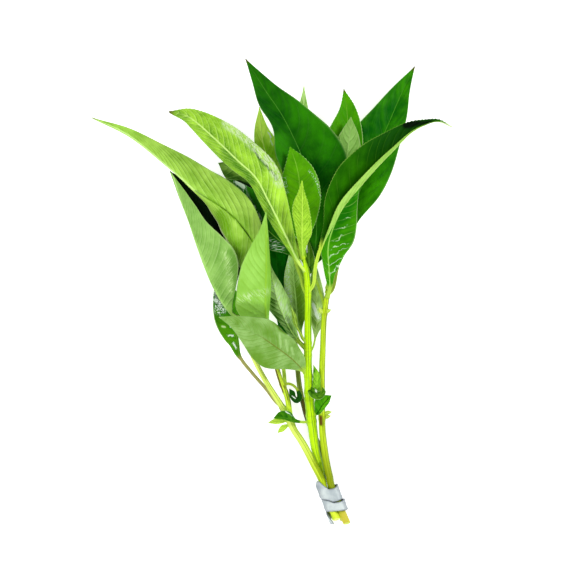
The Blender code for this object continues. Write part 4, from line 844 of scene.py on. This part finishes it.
def set_inputs(node, inputs):
    """Link a node's inputs to Values, or set them to numbers and colours."""
    for key, value in inputs.items():
        if isinstance(value, Value):
            value.tree.links.new(value.socket, node.inputs[key])
        else:
            node.inputs[key].default_value = value


def add_node(kind, inputs, output=0, tree=None, **settings):
    """A new node's output, in the tree of its inputs."""
    tree = tree or next(value.tree for value in inputs.values() if isinstance(value, Value))
    made = tree.nodes.new("ShaderNode" + kind)
    for name, setting in settings.items():
        setattr(made, name, setting)
    set_inputs(made, inputs)
    return Value(made, output)


def maths(operation, *values):
    return add_node("Math", dict(enumerate(values)), operation=operation)


def ramp(value, low, high, start=0, end=1):
    """A value that runs softly from start to end while the given one goes from low to high."""
    inputs = dict(enumerate((value, low, high, start, end)))
    return add_node("MapRange", inputs, interpolation_type="SMOOTHSTEP")


def mixed(share, first, second):
    return add_node("Mix", {0: share, 6: first, 7: second}, 2, data_type="RGBA")


def layered(colour, layers):
    """A colour under others, each with its share."""
    for share, paint in layers:
        colour = mixed(share, colour, paint)
    return colour


def vector_of(*values):
    return add_node("CombineXYZ", dict(enumerate(values)))


def cloudy(vector, scale, detail=2):
    return add_node("TexNoise", {"Vector": vector, "Scale": scale, "Detail": detail})


def clouds(vector, scale, *span, detail=2):
    return ramp(cloudy(vector, scale, detail), *span)


def cells(vector, scale, feature="F1"):
    return add_node("TexVoronoi", {"Vector": vector, "Scale": scale}, "Distance", feature=feature)


def raised(height, strength, distance):
    return add_node("Bump", {"Strength": strength, "Distance": distance, "Height": height})


def new_material(name, *marks):
    """A new material, its shader, and its places and the values it reads from its surface."""
    made = bpy.data.materials.new(name)
    made.use_nodes = True
    tree = made.node_tree
    found = {mark: add_node("Attribute", {}, "Fac", tree, attribute_name=mark) for mark in marks}
    spot = add_node("TexCoord", {}, "Object", tree)
    return made, tree.nodes["Principled BSDF"], SimpleNamespace(spot=spot, **found)


def face_colour(level, marks, leaf, colours, upper):
    """The green of one face, between its dark and its light, with painted shade and light on its vein
    relief, its veins, its net and its midrib.
    """
    dark, light, rib = (shown(colour) for colour in colours)
    # Painted shade in the vein grooves and painted light on the crests between them; under a leaf the shade
    # lies on one side of each vein
    if upper:
        groove, crest = ramp(marks.vein_gap, *GROOVE), ramp(marks.vein_gap, *CREST)
    else:
        turn = maths("FRACT", marks.vein_place)
        groove = ramp(turn, *UNDER_GROOVE) * ramp(turn, *UNDER_GROOVE_END)
        crest = ramp(turn, *UNDER_CREST)
    level = (crest * CREST_SHARE - groove) * marks.fade * (STRIPE_SHARE * leaf.stripes) + level
    return layered(mixed(ramp(level, 0, 1), dark, light), (
        (marks.net * (NET_SHARE * leaf.net), dark if upper else rib),
        (marks.vein * leaf.vein, rib),
        (marks.midrib * RIB_COVER, rib),
    ))


def leaf_colour(leaf, marks):
    """A leaf's colours: two faces in soft patches, its stalk, margin and tip, and its strokes of painted
    light and shade.
    """
    patches = (cloudy(marks.spot, PATCH_SCALE) - 0.5) * (leaf.mottling * PATCH_SHARE)
    # The strokes lighten or darken the green as painted light and shade
    level = marks.tone * 0.5 + 0.5 + patches
    own = (leaf.dark, leaf.light, leaf.rib)
    upper, under = (own, leaf.back or HIDDEN_UNDER) if leaf.top == "upper" else (HIDDEN_UPPER, own)
    under = face_colour(level, marks, leaf, under, False)
    upper = face_colour(level, marks, leaf, upper, True)
    # Strokes far below zero paint deep shade, and far above it a pale painted highlight
    return layered(mixed(marks.side, under, upper), (
        (ramp(marks.along, *STALK_SPAN), shown(leaf.stalk_colour)),
        (ramp(marks.outward, *MARGIN_SPAN, 0, leaf.edge), shown(PALE)),
        (ramp(marks.across * -1, *PALE_SPAN, 0, leaf.pale_margin), shown(PALE)),
        (ramp(marks.along, *TIP_SPAN, 0, leaf.tip), shown(BROWN)),
        (ramp(marks.tone, *DARKEST), shown(PAINTED_DEEP_SHADE)),
        (ramp(marks.tone, *LIGHTEST), shown(PALE)),
    ))


def painted_glint_pattern(kind, marks):
    """Where painted glints lie on a wet leaf: in the cells of its net, in spots, streaks or drops, or along
    its veins.
    """
    if kind == "cells":
        return ramp(marks.cell, *PAINTED_GLINT_CELL) * clouds(marks.net_place, *PAINTED_GLINT_PATCH)
    if kind == "spots":
        return clouds(marks.spot, *PAINTED_GLINT_SPOT, detail=FINE_DETAIL)
    if kind == "streaks":
        streaked = vector_of(marks.vein_place * STREAK_ALONG, marks.rib_gap * STREAK_ACROSS, marks.half)
        return clouds(streaked, *PAINTED_GLINT_STREAK, detail=FINE_DETAIL)
    if kind == "veins":
        sway = (cloudy(marks.spot, SWAY_SCALE) - 0.5) * SWAY
        gap = maths("PINGPONG", marks.vein_place + sway, 0.5)
        return ramp(gap, *PAINTED_GLINT_VEIN) * clouds(marks.net_place, *VEIN_PATCH)
    return ramp(cells(marks.net_place, DROP_SCALE), *DROP)


def leaf_material(name, leaf):
    """A leaf: pale or deep green faces, glossier where wet, with painted glints there where the light would
    catch it.
    """
    made, shader, marks = new_material(name, *MARKS, "tone", "wet")
    marks.outward = maths("ABSOLUTE", marks.across)
    marks.half = maths("SIGN", marks.across)
    marks.vein_gap = maths("PINGPONG", marks.vein_place, 0.5)
    marks.fade = ramp(marks.outward, *MARGIN_FADE) * clouds(marks.spot, *VEIN_CLOUDS)
    marks.vein = ramp(marks.vein_gap, *VEIN_LINE) * marks.fade
    low, high = leaf.rib_span
    span = ramp(marks.along, low - RIB_START, low + RIB_START)
    span = span * ramp(marks.along, high + RIB_END, high - RIB_END)
    marks.midrib = ramp(marks.rib_gap, leaf.rib_half + RIB_OUTSIDE, leaf.rib_half - RIB_INSIDE) * span
    marks.net_place = vector_of(marks.vein_place * NET_ALONG, marks.rib_gap * NET_ACROSS, marks.half)
    marks.cell = cells(marks.net_place, 1, "DISTANCE_TO_EDGE")
    marks.net = ramp(marks.cell, *NET_LINE)
    # Painted glints: pale colour standing for reflections of the lights in the wet places
    glint = painted_glint_pattern(leaf.wet_kind, marks) * ramp(marks.wet, *PAINTED_GLINT_SPAN) * GLINT_SHARE
    glint = maths("MAXIMUM", glint, ramp(marks.wet, *SOLID_PAINTED_GLINT_SPAN))
    grain = cloudy(marks.spot, LEAF_GRAIN)
    roughness = grain * GRAIN_ROUGHNESS + ramp(marks.side, *LEAF_ROUGHNESS) - marks.wet * WET_ROUGHNESS
    height = ramp(marks.cell, *CELL_RISE) + grain * GRAIN_RISE + marks.vein * LINE_RISE
    set_inputs(shader, {
        "Base Color": mixed(glint, leaf_colour(leaf, marks), shown(leaf.gloss)),
        "Specular IOR Level": LEAF_SPECULAR,
        "Roughness": maths("MAXIMUM", roughness, LEAST_ROUGHNESS),
        "Normal": raised(height, *LEAF_BUMP),
    })
    return made


def stem_material(name, stem):
    """A stem: fleshy, streaked along its length, ringed at its knots, pale and fibrous where it is cut, with
    a painted highlight down one side and painted shade on its flanks.
    """
    made, shader, marks = new_material(name, "turn", "length_place", "tone", "knot_gap", "cut")
    dark, light, low, end = (shown(colour) for colour in (stem.dark, stem.light, stem.low, stem.end))
    across, along, tone = maths("SINE", marks.turn), marks.length_place, marks.tone
    around = maths("COSINE", marks.turn) * STREAKS_AROUND
    streaks = cloudy(vector_of(across * STREAKS_AROUND, around, along * STREAKS_AWAY), 1, FINE_DETAIL)
    # A painted highlight down the side towards the lights, and painted shade on the far side
    lit = ramp(maths("COSINE", marks.turn - LIT_ANGLE), *LIT_SPAN)
    bright = mixed(ramp(along, *LOW_SPAN), light, low)
    level = ramp(streaks, *STREAK_SPAN) + (lit + tone)
    flesh = mixed(ramp(cells(marks.spot, FIBRE_SCALE), *FIBRE), end, light)
    # The flanks get painted shade; strokes below DARKEST get the brown of scars
    colour = layered(mixed(ramp(level, 0, 1), dark, bright), (
        (ramp(maths("ABSOLUTE", across), *PAINTED_FLANK_SHADE_SPAN), dark),
        (ramp(marks.knot_gap, *RING_SPAN) * RING_COVER, shown(BROWN)),
        (ramp(tone, *DARKEST), shown(SCAR)),
        (ramp(along, *END_SPAN), end),
        (marks.cut, flesh),
    ))
    grain = cloudy(marks.spot, STEM_GRAIN)
    set_inputs(shader, {
        "Base Color": colour,
        "Specular IOR Level": STEM_SPECULAR,
        "Roughness": grain * HARD_GRAIN + STEM_ROUGHNESS,
        "Normal": raised(streaks + grain * STEM_RISE, *STEM_BUMP),
    })
    return made


def strip_material(name):
    """Soft, dull metal, a little dented, with painted shade at its rims, on its flanks and on its inner
    face.
    """
    made, shader, marks = new_material(name, "edge")
    spots, grain = cloudy(marks.spot, STRIP_CLOUDS, FINE_DETAIL), cloudy(marks.spot, STRIP_GRAIN)
    colour = mixed(ramp(spots, *STRIP_SPAN), shown(STRIP_DULL), shown(STRIP_BRIGHT))
    # The edge mark paints shade on the rims, flanks and inner face
    set_inputs(shader, {
        "Base Color": mixed(marks.edge * RIM_SHADE_COVER, colour, shown(STRIP_SHADE_COLOUR)),
        "Metallic": STRIP_METALLIC,
        "Roughness": grain * HARD_GRAIN + STRIP_ROUGHNESS,
        "Normal": raised(spots + grain * STRIP_RISE, *STRIP_BUMP),
    })
    return made


# The table, the lights and the camera
FLOOR_HALF = 1.6
FLOOR_DROP = 0.0002
WHITE = (1, 1, 1, 1)
ROOM_LIGHT = 0.5
PHOTO_FIELD = 0.288
PHOTO_CENTRE = Vector((0.008, 0.002, 0.030))
LENS = 1200
SENSOR = 36
FARTHEST = 20
FLOOR_LOOK = {
    "Base Color": (0.92, 0.92, 0.92, 1), "Roughness": 0.7, "Specular IOR Level": 0.2,
    "Emission Color": WHITE, "Emission Strength": 0.55,
}
# Each light: its place, its size and its power
LIGHTS = {
    "light_right": ((0.75, 0.55, 0.95), 0.30, 7),
    "light_front": ((-0.1, -0.95, 0.95), 0.35, 6),
    "light_left": ((-0.95, 0.35, 0.95), 0.45, 4),
}


def add_floor():
    made, shader, _ = new_material("table_finish")
    set_inputs(shader, FLOOR_LOOK)
    corners = [(x * FLOOR_HALF, y * FLOOR_HALF, 0) for x, y in ((-1, -1), (1, -1), (1, 1), (-1, 1))]
    mesh = bpy.data.meshes.new("table_top")
    mesh.from_pydata(corners, [], [(0, 1, 2, 3)])
    mesh.materials.append(made)
    floor = add_object("table_top", mesh)
    floor.location.z = -FLOOR_DROP


def add_lights():
    for name, (place, size, power) in LIGHTS.items():
        light = bpy.data.lights.new(name, "AREA")
        light.shape = "SQUARE"
        light.size = size
        light.energy = power
        made = add_object(name, light)
        made.location = place
        made.rotation_euler = (-Vector(place)).to_track_quat("-Z", "Y").to_euler()
        made.visible_camera = False
    world = bpy.data.worlds.new("soft_room")
    world.use_nodes = True
    set_inputs(world.node_tree.nodes["Background"], {"Color": WHITE, "Strength": ROOM_LIGHT})
    bpy.context.scene.world = world


def add_camera():
    camera = bpy.data.cameras.new("camera")
    camera.lens = LENS
    camera.sensor_width = SENSOR
    camera.clip_end = FARTHEST
    made = add_object("camera", camera)
    made.location = PHOTO_CENTRE + Vector((0, 0, PHOTO_FIELD * LENS / SENSOR))
    bpy.context.scene.camera = made
    bpy.context.scene.view_settings.view_transform = "Standard"


def main():
    for name, leaf in LEAVES.items():
        add_leaf(name, leaf)
    for name, stem in STEMS.items():
        add_stem(name, stem)
    add_strip()
    add_floor()
    add_lights()
    add_camera()


main()
